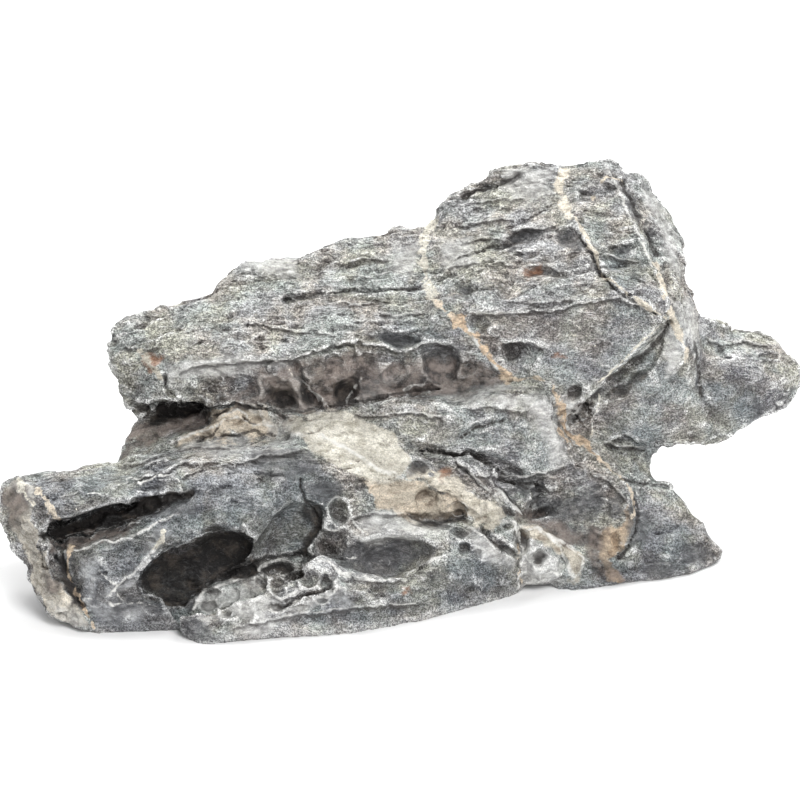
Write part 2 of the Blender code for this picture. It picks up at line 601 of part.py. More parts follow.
def weather(stone):
    """Lumps, beds, cups, cracks and pits worn into the skin."""
    points, facing = read_points(stone.data)
    across, up = face_coordinates(points)
    front = seen_from_front(stone.data, points)
    bed_rise = np.array(BED_RISE) / np.linalg.norm(BED_RISE)
    height_in_beds = points @ bed_rise
    edge_on = 1.0 - np.abs(facing @ bed_rise) ** 2

    moved = LUMP_DEPTH * noise_at(points, LUMP_SIZE, SHIFTS["lumps"])
    moved += BUMP_DEPTH * noise_at(points, BUMP_SIZE, SHIFTS["bumps"])
    turned_away = np.clip(facing[:, 1] * TURNED_AWAY_GAIN, 0.0, 1.0)
    moved += REAR_LUMP_DEPTH * turned_away * noise_at(points, REAR_LUMP_SIZE, SHIFTS["rear"])
    bed = height_in_beds / BED_THICKNESS + BED_WAVE * noise_at(points, REAR_LUMP_SIZE, SHIFTS["beds"])
    within_bed = bed - np.floor(bed)
    swell = np.minimum(within_bed / LONG_SIDE, (1.0 - within_bed) / (1.0 - LONG_SIDE)) - 0.5
    patchy = PATCHY_MIDDLE + PATCHY_SWING * noise_at(points, LUMP_SIZE, SHIFTS["patches"])
    moved += BED_DEPTH * np.clip(patchy, 0.0, 1.0) * edge_on * swell
    worn = np.clip((CUP_TOP - up) / CUP_FADE, 0.0, 1.0)
    moved -= CUP_DEPTH * worn * cups_at(points, CUP_SIZE, SHIFTS["cups"])
    points += facing * (moved * np.clip(points[:, 2] / GROUND_FADE, 0.0, 1.0))[:, None]

    inward = np.array([0.0, math.cos(FACE_LEAN), -math.sin(FACE_LEAN)])
    for line, half_width, depth in CREASES.values():
        gap = distance_to_line(across, up, line) / half_width
        dent = depth * np.exp(-gap**2) * front
        points += inward * dent[:, None]
    for centre_across, centre_up, half_across, half_up, depth in PITS:
        gap = np.hypot((across - centre_across) / half_across, (up - centre_up) / half_up)
        dent = depth * np.clip(1.0 - gap**2, 0.0, 1.0) * front
        points += inward * dent[:, None]
    write_points(stone.data, points)


def flatten_sole(mesh):
    """Everything within a hair of the ground is set on it."""
    for vert in mesh.vertices:
        if vert.co.z < FLAT_SOLE * MM:
            vert.co.z = 0.0
    mesh.update()


def stone_material():
    material = bpy.data.materials.new("grey limestone")
    material.use_nodes = True
    shader = material.node_tree.nodes["Principled BSDF"]
    shader.inputs["Base Color"].default_value = STONE_COLOUR
    shader.inputs["Roughness"].default_value = STONE_ROUGHNESS
    shader.inputs["Metallic"].default_value = 0.0
    return material


def build():
    """Makes the stone, and nothing else, in the scene."""
    for obj in list(bpy.data.objects):
        bpy.data.objects.remove(obj)
    stone = rough_block_heap()
    keep_outer_skin(stone.data)
    weather(stone)
    flatten_sole(stone.data)
    thin = stone.modifiers.new("thin out", "DECIMATE")
    thin.ratio = TRIANGLES / (2 * len(stone.data.polygons))
    stone.data = evaluated_mesh(stone)
    stone.modifiers.clear()
    flatten_sole(stone.data)
    stone.data.materials.clear()
    stone.data.materials.append(stone_material())


build()
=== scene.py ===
"""Looks for the seiryu stone: its worn skin, cracks, pits, veins and calcite, on a pale studio floor.

Sizes are in millimetres and the scene in metres. What is drawn on the side that faces the camera is placed on
the front map: the stone as the camera's frame shows it, (right, down), in steps of FRAME_MM millimetres.
"""

import math
from collections import namedtuple
from types import SimpleNamespace

import bmesh
import bpy
import numpy as np
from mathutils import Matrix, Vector
from mathutils.bvhtree import BVHTree


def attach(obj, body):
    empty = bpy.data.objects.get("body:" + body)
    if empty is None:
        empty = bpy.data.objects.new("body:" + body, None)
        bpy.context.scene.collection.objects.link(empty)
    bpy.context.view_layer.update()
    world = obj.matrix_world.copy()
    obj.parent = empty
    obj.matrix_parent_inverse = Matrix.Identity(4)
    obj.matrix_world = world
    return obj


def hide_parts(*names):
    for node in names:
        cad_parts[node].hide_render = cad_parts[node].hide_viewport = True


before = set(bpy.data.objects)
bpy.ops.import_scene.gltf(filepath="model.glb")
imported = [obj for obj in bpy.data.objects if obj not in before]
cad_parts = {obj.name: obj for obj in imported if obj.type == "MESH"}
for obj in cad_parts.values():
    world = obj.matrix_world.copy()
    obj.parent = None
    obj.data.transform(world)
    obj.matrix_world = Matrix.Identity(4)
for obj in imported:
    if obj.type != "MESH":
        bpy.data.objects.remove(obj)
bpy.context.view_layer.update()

MM = 0.001
FRAME_SIZE = 800
FRAME_MM = 0.4
CAMERA_RISE = math.radians(22.0)
CAMERA_DISTANCE = 4000.0
CAMERA_AIM = np.array([-1.8, -13.4, 71.0])  # the point of the stone at the middle of the frame, near enough
VOXEL = 0.95  # grain of the worn skin before it is thinned out
TRIANGLES = 196000
AWAY_KEPT = 0.22  # share of the triangles kept on the sides turned from the camera
AWAY_RELIEF = 0.35  # share of the measured relief that colours the thinned mesh on those sides
SCRAP = 0.02  # edges shorter than this many millimetres are closed up
MARKED_DEPTH = 2.3  # hollows shallower than this many millimetres get no painted shade inside or painted highlight on the rim
FAR = 30.0  # stands for "nowhere near" where a gap in millimetres is asked for
FLAT_SOLE = 0.3  # anything this close to the ground is flat on it
GOLDEN_ANGLE = 2.39996  # spreads rays evenly over a half sphere

# One layer of weathering: the size of its noise, once or for each axis, how far it moves the skin, both in
# millimetres, and the seed that keeps it apart from the others.
Layer = namedtuple("Layer", "size depth seed")
CHIPS = Layer((13.0, 11.0, 9.0), 1.1, 71)
BED_CHIPS = Layer((8.0, 4.5, 3.5), 0.4, 75)
BROAD_CHIPS = Layer((26.0, 22.0, 18.0), 0.9, 79)
REAR_BOWLS = Layer((13.0, 11.0, 10.0), 0.9, 81)
CLIFF_BOWLS = Layer(5.0, 0.15, 87)
PITTING = Layer(3.4, 0.7, 87)
BED_GAPS = Layer((11.0, 4.0, 4.0), 1.3, 91)
SWELLING = Layer(16.0, 0.9, 95)
GRAIN = Layer((5.0, 2.6, 2.2), 0.3, 97)
SHEETS = (Layer(12.0, 1.3, 11), Layer(5.0, 0.6, 17), Layer(2.6, 0.25, 23))
LAMINAE = (Layer(6.5, 0.7, 31), Layer(2.8, 0.25, 36))
CALM_PATCHES, CALM_SEED = 34.0, 65  # where the hidden sides stayed smooth


# ---------------------------------------------------------------- noise

def cell_random(cells, seed):
    """A steady random number from 0 to 1 for each cell of whole numbers, from large odd factors."""
    across, back, up = (cells[..., axis].astype(np.int64).astype(np.uint32) for axis in range(3))
    mixed = across * np.uint32(73856093) ^ back * np.uint32(19349663) ^ up * np.uint32(83492791)
    mixed ^= np.uint32(seed * 2654435761 % 2**32)
    mixed ^= mixed >> np.uint32(15)
    mixed *= np.uint32(2246822519)
    mixed ^= mixed >> np.uint32(13)
    mixed *= np.uint32(3266489917)
    mixed ^= mixed >> np.uint32(16)
    return mixed / 2.0**32


def noise(points, size, seed):
    """Smooth noise from about -1 to 1 with lumps of the given size, one size or one for each axis."""
    spot = points / np.asarray(size) + seed * 17.31
    cell = np.floor(spot)
    inner = spot - cell
    ease = inner**3 * (inner * (inner * 6.0 - 15.0) + 10.0)
    total = np.zeros(len(points))
    for corner in np.ndindex(2, 2, 2):
        near = cell + corner
        slope = [2.0 * cell_random(near, seed * 3 + axis) - 1.0 for axis in range(3)]
        rise = sum(slope[axis] * (inner[:, axis] - corner[axis]) for axis in range(3))
        weight = np.prod(np.where(corner, ease, 1.0 - ease), axis=1)
        total += weight * rise
    return total * 1.6


def rough(points, size, seed, octaves=4, keep=0.5):
    """Noise with finer and finer layers, each a share of the one before."""
    total = np.zeros(len(points))
    strength = 1.0
    for octave in range(octaves):
        total += strength * noise(points, np.asarray(size) / 2.03**octave, seed + octave)
        strength *= keep
    return total


def drift(points, size, seeds, octaves=2):
    """A rough noise for each seed, side by side, to shake points with."""
    return np.stack([rough(points, size, seed, octaves) for seed in seeds], axis=1)


def scattered(points, size, seed):
    """The nearest of centres strewn one to a cell: its distance in cells, the way from it, and its cell."""
    spot = points / np.asarray(size)
    cell = np.floor(spot)
    nearest = np.full(len(points), 9.0)
    away = np.zeros_like(points)
    owner = np.zeros_like(points)
    for step in np.ndindex(3, 3, 3):
        near = cell + step - 1.0
        centre = near + np.stack([cell_random(near, seed + axis) for axis in range(3)], axis=1)
        offset = spot - centre
        gap = np.linalg.norm(offset, axis=1)
        closer = gap < nearest
        nearest[closer] = gap[closer]
        away[closer] = offset[closer]
        owner[closer] = near[closer]
    return nearest, away, owner


def scallops(points, size, seed):
    """Shallow bowls that meet in sharp rims: about 0 at the bottoms and 1 on the highest rims."""
    nearest, _, owner = scattered(points, size, seed)
    return np.clip(nearest, 0.0, 1.1) ** 2 * (0.5 + 0.8 * cell_random(owner, seed + 9))


def chips(points, size, seed):
    """Small tilted planes with broken edges between them, from about -1 to 1."""
    _, away, owner = scattered(points, size, seed)
    tilt = np.stack([cell_random(owner, seed + 20 + axis) - 0.5 for axis in range(3)], axis=1)
    return 2.4 * np.einsum("ij,ij->i", away, tilt) + 0.7 * (cell_random(owner, seed + 30) - 0.5)


def ramp(values, low, high):
    """0 below low, 1 above high, and smooth between."""
    share = np.clip((values - low) / (high - low), 0.0, 1.0)
    return share * share * (3.0 - 2.0 * share)


# ---------------------------------------------------------------- meshes and the front map

TOWARD_CAMERA = np.array([0.0, -math.cos(CAMERA_RISE), math.sin(CAMERA_RISE)])
FRAME_UP = np.array([0.0, math.sin(CAMERA_RISE), math.cos(CAMERA_RISE)])
BED_RISE = np.array([-0.085, -0.49, 1.0]) / np.linalg.norm([-0.085, -0.49, 1.0])
BED_STRIKE = np.array([1.0, 0.0, 0.085]) / np.linalg.norm([1.0, 0.0, 0.085])
BED_DIP = np.cross(BED_RISE, BED_STRIKE)


def front_map(points):
    """Where the camera's frame shows each point."""
    offset = points - CAMERA_AIM
    scale = CAMERA_DISTANCE / (CAMERA_DISTANCE - offset @ TOWARD_CAMERA) / FRAME_MM
    middle = FRAME_SIZE / 2
    return np.stack([middle + offset[:, 0] * scale, middle - (offset @ FRAME_UP) * scale], axis=1)


def read_points(mesh):
    points = np.empty(len(mesh.vertices) * 3)
    mesh.vertices.foreach_get("co", points)
    return points.reshape(-1, 3) / MM


def read_normals(mesh):
    normals = np.empty(len(mesh.vertices) * 3)
    mesh.vertices.foreach_get("normal", normals)
    return normals.reshape(-1, 3)


def write_points(mesh, points):
    mesh.vertices.foreach_set("co", (points * MM).ravel())
    mesh.update()


def edge_ends(mesh):
    ends = np.empty(len(mesh.edges) * 2, dtype=np.int32)
    mesh.edges.foreach_get("vertices", ends)
    return ends.reshape(-1, 2)


def spread(values, ends, rounds, share=0.5):
    """Evens out a value, or a row of values, over neighbouring corners of a mesh."""
    values = values.astype(float).reshape(len(values), -1)
    count = np.bincount(ends.ravel(), minlength=len(values))[:, None]
    for _ in range(rounds):
        total = np.stack([
            np.bincount(ends[:, 0], column[ends[:, 1]], len(values))
            + np.bincount(ends[:, 1], column[ends[:, 0]], len(values))
            for column in values.T
        ], axis=1)
        values = (1.0 - share) * values + share * total / count
    return values.squeeze()


def in_view(mesh, points, normals):
    """1 where a corner of the mesh is open to the camera, 0 where something is in front of it."""
    tree = BVHTree.FromPolygons([v.co for v in mesh.vertices], [p.vertices for p in mesh.polygons])
    eye = CAMERA_AIM + TOWARD_CAMERA * CAMERA_DISTANCE
    sight = eye - points
    sight /= np.linalg.norm(sight, axis=1)[:, None]
    start = (points + normals * 0.6 + sight * 0.6) * MM
    facing = np.einsum("ij,ij->i", sight, normals) > -0.1
    return np.array([
        float(looks and tree.ray_cast(Vector(begin), Vector(way))[0] is None)
        for looks, begin, way in zip(facing, start, sight)
    ])


def line_gap(spots, line):
    """How far each spot of the front map is from a bent line, in millimetres."""
    nearest = np.full(len(spots), np.inf)
    for start, end in zip(np.array(line[:-1], float), np.array(line[1:], float)):
        run = end - start
        along = np.clip((spots - start) @ run / (run @ run), 0.0, 1.0)
        nearest = np.minimum(nearest, np.linalg.norm(spots - start - along[:, None] * run, axis=1))
    return nearest * FRAME_MM


def beside_line(spots, line):
    """How far each spot is to the right of the way the line is drawn, in millimetres, negative to the left,
    and a share that is 1 along the line's middle and fades to 0 at its ends."""
    corners = np.array(line, float)
    lengths = np.linalg.norm(np.diff(corners, axis=0), axis=1)
    nearest = np.full(len(spots), np.inf)
    beside = np.zeros(len(spots))
    share = np.zeros(len(spots))
    for start, end, length, before in zip(corners[:-1], corners[1:], lengths, np.cumsum(lengths) - lengths):
        run = (end - start) / length
        offset = spots - start
        along = np.clip(offset @ run, 0.0, length)
        gap = np.linalg.norm(offset - along[:, None] * run, axis=1)
        side = np.where(run[0] * offset[:, 1] - run[1] * offset[:, 0] < 0.0, -1.0, 1.0)
        closer = gap < nearest
        nearest[closer] = gap[closer]
        beside[closer] = (side * gap)[closer]
        share[closer] = ((before + along) / lengths.sum())[closer]
    return beside * FRAME_MM, ramp(np.minimum(share, 1.0 - share), 0.0, 0.14)


def inside_gap(spots, outline):
    """Distance to a closed outline on the front map in millimetres, negative inside it."""
    corners = np.array(outline, float)
    inside = np.zeros(len(spots), bool)
    for (x1, y1), (x2, y2) in zip(corners, np.roll(corners, -1, axis=0)):
        if y1 == y2:
            continue
        crosses = (y1 > spots[:, 1]) != (y2 > spots[:, 1])
        meets = x1 + (spots[:, 1] - y1) * (x2 - x1) / (y2 - y1)
        inside ^= crosses & (spots[:, 0] < meets)
    gap = line_gap(spots, [*outline, outline[0]])
    return np.where(inside, -gap, gap)


# ---------------------------------------------------------------- the drawing on the front map

# Lines that two of the lists below draw along.
PEAK_VEIN = [(575, 218), (581, 232), (590, 246), (599, 262), (606, 277), (630, 295), (650, 307), (667, 318)]
FLANK_VEIN = [(655, 262), (663, 278), (665, 295), (671, 316), (678, 332), (686, 350), (685, 362)]
CORNER_VEIN = [(664, 320), (648, 337), (640, 344), (628, 357), (612, 370), (598, 383)]
ROOT_VEIN = [(600, 395), (596, 412), (590, 438)]
PEAK_CRACK = [
    (668, 324), (655, 340), (645, 350), (624, 367), (607, 378), (597, 392), (584, 405), (572, 420),
]
# Cracks: line, half width and depth in millimetres.
CRACKS = [
    ([(283, 300), (305, 297), (325, 292), (338, 294), (352, 289), (380, 290), (418, 288)], 0.6, 1.8),
    ([(462, 196), (480, 190), (500, 184), (518, 176)], 0.8, 2.2),
    ([(455, 258), (478, 252), (490, 247), (500, 246), (515, 243)], 0.5, 1.6),
    ([(520, 222), (540, 213), (556, 203)], 0.4, 1.0),
    ([(422, 450), (440, 452), (455, 456), (472, 454), (488, 463), (505, 475), (520, 480)], 0.6, 3.0),
    ([(460, 438), (480, 426), (503, 420)], 0.6, 1.4),
    (PEAK_CRACK, 0.5, 1.4),
    ([(580, 236), (590, 252), (600, 272), (616, 290), (635, 302), (658, 315)], 0.7, 2.0),
    ([(695, 340), (697, 362), (700, 385), (702, 398)], 0.6, 1.0),
    ([(622, 183), (634, 206), (646, 232), (656, 256)], 1.0, 1.5),
    ([(135, 410), (165, 407), (195, 408)], 1.8, 4.0),
    ([(200, 409), (240, 404), (262, 410), (300, 411), (350, 403), (395, 394), (440, 388)], 0.8, 2.5),
    ([(165, 378), (168, 394), (186, 406)], 0.7, 1.8),
    ([(620, 479), (645, 484), (668, 487)], 0.6, 1.5),
    ([(518, 548), (519, 570), (520, 590)], 0.5, 1.6),
    ([(500, 477), (520, 483), (536, 484), (546, 478)], 0.6, 2.0),
    ([(536, 484), (542, 495), (530, 508)], 0.7, 2.5),
    ([(300, 478), (305, 500), (316, 516)], 0.5, 1.6),
    ([(60, 541), (62, 560), (68, 580), (80, 604)], 1.6, 3.0),
    ([(455, 462), (470, 475), (485, 488), (498, 500), (512, 514)], 0.7, 1.8),
    ([(207, 424), (213, 416), (222, 413), (230, 408)], 0.7, 1.6),
    ([(243, 417), (249, 423), (256, 424)], 0.5, 1.0),
    ([(198, 442), (214, 434), (217, 428)], 0.5, 1.2),
    ([(222, 436), (235, 436), (246, 433), (254, 430), (262, 436), (274, 434)], 0.7, 1.6),
    ([(258, 404), (264, 408), (276, 413), (284, 418)], 0.7, 1.6),
    ([(43, 536), (80, 525), (110, 512), (150, 502), (192, 494)], 1.4, 3.0),
    ([(500, 488), (512, 500), (524, 514)], 0.5, 1.4),
    ([(634, 498), (639, 515), (635, 532), (627, 548), (618, 560)], 0.6, 1.6),
    ([(505, 475), (520, 486), (532, 490), (546, 493)], 0.7, 1.8),
]
# Scarps: line, then how far the skin to the right of the way it is drawn drops, and how far that reaches, in
# millimetres.
SCARPS = [
    ([(165, 378), (200, 365), (232, 363), (290, 359), (330, 345), (358, 341), (405, 352), (430, 341),
       (466, 352)], 2.6, 9.0),
    ([(462, 315), (500, 314), (530, 312), (558, 311), (575, 304), (592, 302), (620, 297), (660, 316)], 1.6,
       10.0),
    ([(500, 343), (520, 341), (535, 345), (546, 353)], 2.2, 7.0),
    ([(452, 227), (480, 222), (502, 219), (520, 221)], 0.9, 4.0),
    ([(505, 233), (522, 229), (545, 228), (560, 224)], 1.2, 4.5),
    ([(440, 270), (470, 263), (500, 262), (520, 266)], 0.9, 4.0),
    ([(500, 301), (540, 303), (580, 299)], 0.8, 4.0),
    ([(455, 243), (480, 238), (505, 238)], 0.7, 3.0),
    ([(470, 204), (500, 199), (530, 200)], 0.7, 3.5),
    ([(585, 262), (610, 256), (640, 262)], 0.9, 4.0),
    ([(600, 182), (615, 186), (622, 190)], 1.0, 4.0),
    ([(238, 321), (265, 325), (290, 331), (320, 333), (345, 335)], 1.0, 4.0),
    ([(375, 313), (400, 317), (425, 311)], 0.8, 3.5),
    ([(330, 302), (360, 305), (395, 300)], 0.7, 3.0),
    ([(340, 262), (365, 258), (395, 262)], 0.8, 4.0),
    ([(120, 345), (140, 350), (165, 346)], 0.9, 4.0),
    ([(345, 414), (380, 416), (410, 412), (440, 418), (452, 430)], 1.3, 5.0),
    ([(460, 410), (490, 406), (520, 412), (536, 408)], 0.9, 4.0),
    ([(470, 475), (520, 478), (556, 470), (570, 462)], 1.8, 6.0),
    ([(112, 468), (140, 463), (168, 452), (196, 447), (240, 446)], 1.2, 4.0),
    ([(120, 487), (140, 478), (160, 474), (182, 463), (240, 464), (262, 456), (314, 449)], 1.5, 6.0),
    ([(180, 480), (190, 474), (205, 466)], 1.0, 4.0),
    ([(60, 538), (90, 534), (120, 528), (150, 520)], 1.5, 5.0),
    ([(200, 590), (225, 583), (258, 577), (268, 590), (280, 601), (296, 596), (322, 590), (350, 584)], 1.0,
       3.5),
    ([(345, 577), (380, 582), (405, 581), (430, 566)], 0.8, 4.0),
    ([(335, 512), (352, 519), (372, 513), (405, 514), (440, 524), (460, 526)], 1.0, 4.0),
    ([(600, 441), (620, 446), (650, 449)], 1.6, 5.0),
    (PEAK_CRACK[::-1], 3.4, 7.0),
    ([(700, 338), (722, 344), (745, 342), (775, 347)], 0.9, 5.0),
    ([(585, 470), (610, 482), (632, 506)], 1.0, 5.0),
    ([(210, 632), (260, 622), (320, 612), (380, 606), (440, 603)], 0.7, 4.0),
]
# Hollows: centre, half sizes on the front map, turn in degrees, and depth in millimetres.
HOLLOWS = [
    (524, 236, 17, 6, -14, 2.2), (506, 245, 12, 4, -10, 1.4), (568, 239, 13, 11, -25, 2.2),
    (478, 212, 6, 4, 0, 1.4), (588, 195, 9, 6, -35, 1.8), (538, 270, 14, 6, 5, 2.2),
    (620, 249, 13, 6, -10, 1.8), (619, 266, 11, 4, -10, 1.6), (513, 253, 10, 3, 5, 1.2),
    (556, 275, 13, 4, 8, 1.6), (464, 289, 8, 9, 20, 2.2), (449, 276, 9, 3, -8, 1.5),
    (573, 291, 11, 4, -8, 1.4), (645, 306, 10, 4, 35, 1.2), (572, 256, 9, 4, 0, 1.2),
    (494, 268, 7, 3, 0, 1.0), (605, 275, 8, 5, 20, 1.2), (620, 203, 8, 4, 50, 1.2),
    (505, 210, 9, 3, -10, 0.9), (515, 370, 12, 6, 10, 1.6), (395, 372, 13, 8, -20, 2.0),
    (334, 366, 10, 10, 0, 1.8), (297, 368, 8, 8, 0, 1.2), (190, 392, 10, 7, 0, 1.8),
    (380, 355, 10, 6, 20, 1.6), (573, 394, 8, 9, 0, 3.0), (601, 331, 6, 5, 0, 1.0),
    (570, 330, 8, 5, 30, 1.0), (620, 362, 3, 3, 0, 1.2), (243, 337, 7, 4, 0, 1.4), (283, 341, 5, 3, 20, 1.2),
    (229, 332, 5, 2, 0, 1.0), (200, 332, 3, 3, 0, 0.8), (156, 360, 9, 5, 20, 1.2),
    (355, 265, 12, 4, -10, 1.0), (113, 343, 6, 8, 0, 1.8), (125, 365, 8, 4, 20, 0.9),
    (338, 513, 10, 16, -10, 3.6), (329, 552, 8, 8, 0, 1.2), (211, 595, 9, 5, -15, 3.4),
    (209, 609, 7, 11, 0, 2.4), (229, 612, 12, 8, -15, 1.8), (225, 613, 6, 4, -15, 3.4),
    (234, 596, 7, 8, 0, 1.8), (261, 583, 5, 7, 0, 3.0), (278, 586, 10, 13, 0, 3.8),
    (309, 580, 11, 9, 0, 4.2), (326, 583, 9, 10, 0, 3.8), (323, 600, 7, 5, 0, 3.2), (336, 597, 9, 7, 0, 2.2),
    (249, 598, 8, 8, 0, 1.6), (246, 614, 6, 9, 0, 1.6), (263, 610, 9, 6, 0, 1.4), (216, 628, 6, 4, 0, 1.6),
    (300, 609, 9, 5, 0, 1.4), (280, 618, 10, 5, 0, 1.0), (313, 606, 7, 5, 0, 1.4), (346, 585, 8, 7, 0, 1.4),
    (350, 602, 9, 7, 0, 1.4), (230, 627, 9, 4, 0, 0.9), (376, 592, 9, 8, 0, 1.2), (395, 590, 7, 6, 0, 1.2),
    (463, 550, 6, 5, 0, 2.2), (476, 554, 6, 5, 0, 1.6), (458, 534, 9, 7, 0, 2.4), (490, 572, 16, 10, 0, 1.2),
    (475, 592, 8, 4, 0, 1.4), (437, 580, 12, 8, 0, 0.9), (420, 592, 10, 6, 0, 1.0), (507, 526, 6, 4, 0, 2.4),
    (522, 541, 6, 14, 0, 4.4), (537, 558, 8, 7, 0, 4.0), (538, 540, 9, 7, 0, 2.0), (560, 563, 5, 9, 20, 2.2),
    (552, 552, 9, 6, 30, 1.4), (548, 574, 9, 5, 0, 1.4), (488, 512, 7, 6, 0, 1.2), (530, 579, 8, 6, 0, 1.6),
    (543, 512, 13, 3, -15, 1.6), (520, 495, 14, 8, 10, 1.5), (580, 466, 6, 3, 0, 1.6),
    (560, 452, 8, 8, 0, 1.2), (439, 500, 24, 15, 0, 2.2), (459, 509, 9, 7, 0, 2.4),
    (418, 468, 11, 8, 0, 2.6), (484, 520, 6, 5, 0, 1.8), (497, 530, 5, 5, 0, 1.6), (478, 506, 5, 4, 0, 1.2),
    (596, 510, 20, 14, 30, 1.8), (570, 490, 14, 9, 0, 1.4), (617, 541, 4, 9, 15, 1.8),
    (590, 540, 10, 8, 0, 1.6), (721, 351, 7, 6, 60, 1.4), (757, 409, 8, 6, 0, 0.9), (748, 390, 6, 5, 0, 0.9),
    (700, 552, 14, 10, 0, 0.8), (560, 430, 4, 5, 0, 1.0), (568, 431, 3, 4, 0, 1.5),
    (480, 440, 14, 7, -15, 1.2), (415, 430, 14, 10, 0, 1.1), (520, 400, 12, 6, 0, 1.0),
    (372, 409, 8, 4, 0, 1.0), (125, 560, 16, 18, 20, 1.4), (95, 520, 12, 6, -15, 0.8),
    (160, 468, 12, 6, -25, 1.4), (135, 480, 10, 4, -15, 1.0), (95, 483, 14, 6, 0, 0.9),
    (150, 485, 14, 7, -10, 1.0), (140, 600, 20, 8, 10, 1.0), (105, 600, 8, 10, 0, 0.9),
    (216, 452, 9, 3, 0, 0.8), (300, 470, 22, 12, 0, 1.2),
]
# Forms: outline, how far it is sunk, or raised where negative, and how far in from its edge it is full depth.
FORMS = [
    # scoops under the lip of the upper slab
    ([(196, 380), (206, 376), (216, 380), (220, 392), (216, 402), (204, 403), (197, 395)], 2.2, 3.0),
    ([(224, 378), (240, 374), (256, 378), (262, 388), (258, 399), (240, 402), (226, 398)], 2.4, 3.5),
    ([(262, 380), (276, 376), (290, 382), (296, 395), (300, 408), (285, 410), (266, 402)], 3.4, 3.5),
    ([(288, 361), (297, 360), (306, 376), (314, 390), (322, 403), (326, 410), (316, 410), (306, 398),
       (298, 384)], 3.2, 2.0),
    ([(334, 384), (350, 378), (360, 380), (360, 392), (352, 404), (340, 408), (331, 402)], 3.6, 3.5),
    ([(385, 352), (405, 354), (420, 352), (412, 364), (396, 368), (384, 362)], 1.8, 3.0),
    ([(420, 352), (434, 342), (448, 342), (460, 352), (462, 368), (456, 380), (436, 384), (424, 374)], 3.8,
       4.0),
    ([(462, 362), (476, 358), (480, 368), (470, 376), (462, 374)], 2.4, 2.5),
    ([(500, 344), (520, 342), (534, 348), (536, 360), (520, 368), (504, 364)], 3.0, 3.0),
    ([(372, 334), (390, 331), (418, 332), (422, 342), (414, 350), (398, 349), (380, 343)], 3.4, 3.0),
    ([(354, 336), (370, 333), (384, 340), (380, 346), (362, 344)], 1.6, 2.0),
    ([(461, 314), (480, 313), (490, 322), (486, 336), (474, 330), (464, 322)], 2.4, 2.5),
    # crust in the mouth of the recess
    ([(214, 420), (222, 410), (236, 405), (248, 408), (252, 416), (242, 421), (228, 422)], -1.4, 2.0),
    ([(196, 432), (210, 424), (232, 424), (256, 428), (276, 436), (250, 440), (220, 438)], -1.2, 1.6),
    # the left block
    ([(140, 470), (152, 462), (168, 456), (178, 457), (172, 466), (158, 472)], 2.2, 1.5),
    ([(48, 528), (80, 522), (130, 518), (128, 530), (104, 540), (80, 545), (56, 546)], 1.6, 1.5),
    ([(100, 552), (112, 542), (136, 540), (150, 548), (142, 564), (124, 578), (108, 576)], 1.2, 3.0),
    ([(108, 588), (122, 580), (140, 578), (148, 592), (168, 606), (160, 614), (130, 606), (112, 600)], 1.4,
       2.0),
    ([(246, 548), (250, 525), (262, 508), (285, 497), (308, 492), (322, 500), (327, 514), (322, 532),
       (306, 550), (284, 560), (262, 560)], 1.6, 5.0),
    ([(306, 500), (322, 505), (326, 516), (318, 536), (304, 552), (296, 548), (308, 528), (312, 512)], 2.2,
       1.6),
    ([(138, 577), (150, 563), (163, 551), (186, 545), (205, 534), (225, 530), (245, 533), (255, 541),
       (250, 556), (225, 572), (200, 588), (184, 606), (168, 606), (158, 596), (145, 592)], 5.0, 1.4),
    # the pitted ridge, the trough behind it and the bowl
    ([(195, 592), (205, 585), (225, 580), (258, 573), (280, 580), (298, 577), (304, 566), (318, 555),
       (300, 548), (262, 556), (235, 566), (210, 578)], 3.6, 1.4),
    ([(300, 576), (308, 563), (322, 556), (332, 562), (345, 575), (352, 590), (335, 600), (312, 600)], -2.2,
       4.0),
    ([(188, 602), (198, 590), (225, 584), (258, 577), (268, 586), (270, 600), (250, 612), (212, 620),
       (194, 616)], -1.6, 3.0),
    ([(269, 603), (276, 605), (285, 605), (293, 599), (303, 593), (318, 590), (331, 586), (333, 590),
       (318, 595), (304, 598), (294, 604), (283, 611), (271, 610)], 4.0, 1.2),
    ([(284, 572), (296, 568), (302, 570), (298, 581), (287, 580)], 4.0, 1.2),
    ([(477, 523), (482, 524), (494, 534), (506, 543), (519, 554), (517, 560), (500, 548), (486, 536)], 3.0,
       1.2),
    ([(502, 524), (510, 520), (516, 524), (516, 545), (512, 552), (506, 545)], -1.4, 2.0),
    ([(526, 530), (536, 526), (548, 534), (562, 545), (576, 553), (584, 560), (576, 576), (560, 584),
       (530, 590), (526, 560)], -2.6, 3.0),
    ([(470, 508), (480, 500), (494, 505), (501, 516), (492, 522), (476, 520)], -1.8, 3.0),
    ([(333, 556), (345, 543), (362, 538), (400, 538), (432, 542), (439, 549), (428, 560), (412, 568),
       (400, 577), (385, 582), (374, 576), (360, 577), (345, 570), (335, 562)], 2.2, 2.6),
    ([(348, 536), (358, 535), (363, 545), (360, 555), (346, 554)], 1.4, 2.0),
    ([(400, 512), (430, 514), (455, 512), (470, 508), (466, 520), (440, 525), (416, 521)], 3.2, 1.5),
    # between the calcite and the middle ledge
    ([(527, 514), (540, 509), (556, 507), (558, 512), (545, 517), (530, 520)], 2.0, 1.2),
    ([(474, 424), (500, 420), (506, 432), (500, 446), (478, 444), (466, 438)], 0.9, 2.0),
    # below the edge that runs down from the peak's corner
    ([(664, 326), (655, 342), (640, 354), (620, 370), (602, 388), (622, 382), (642, 379), (656, 366),
       (664, 346)], 1.6, 2.0),
]
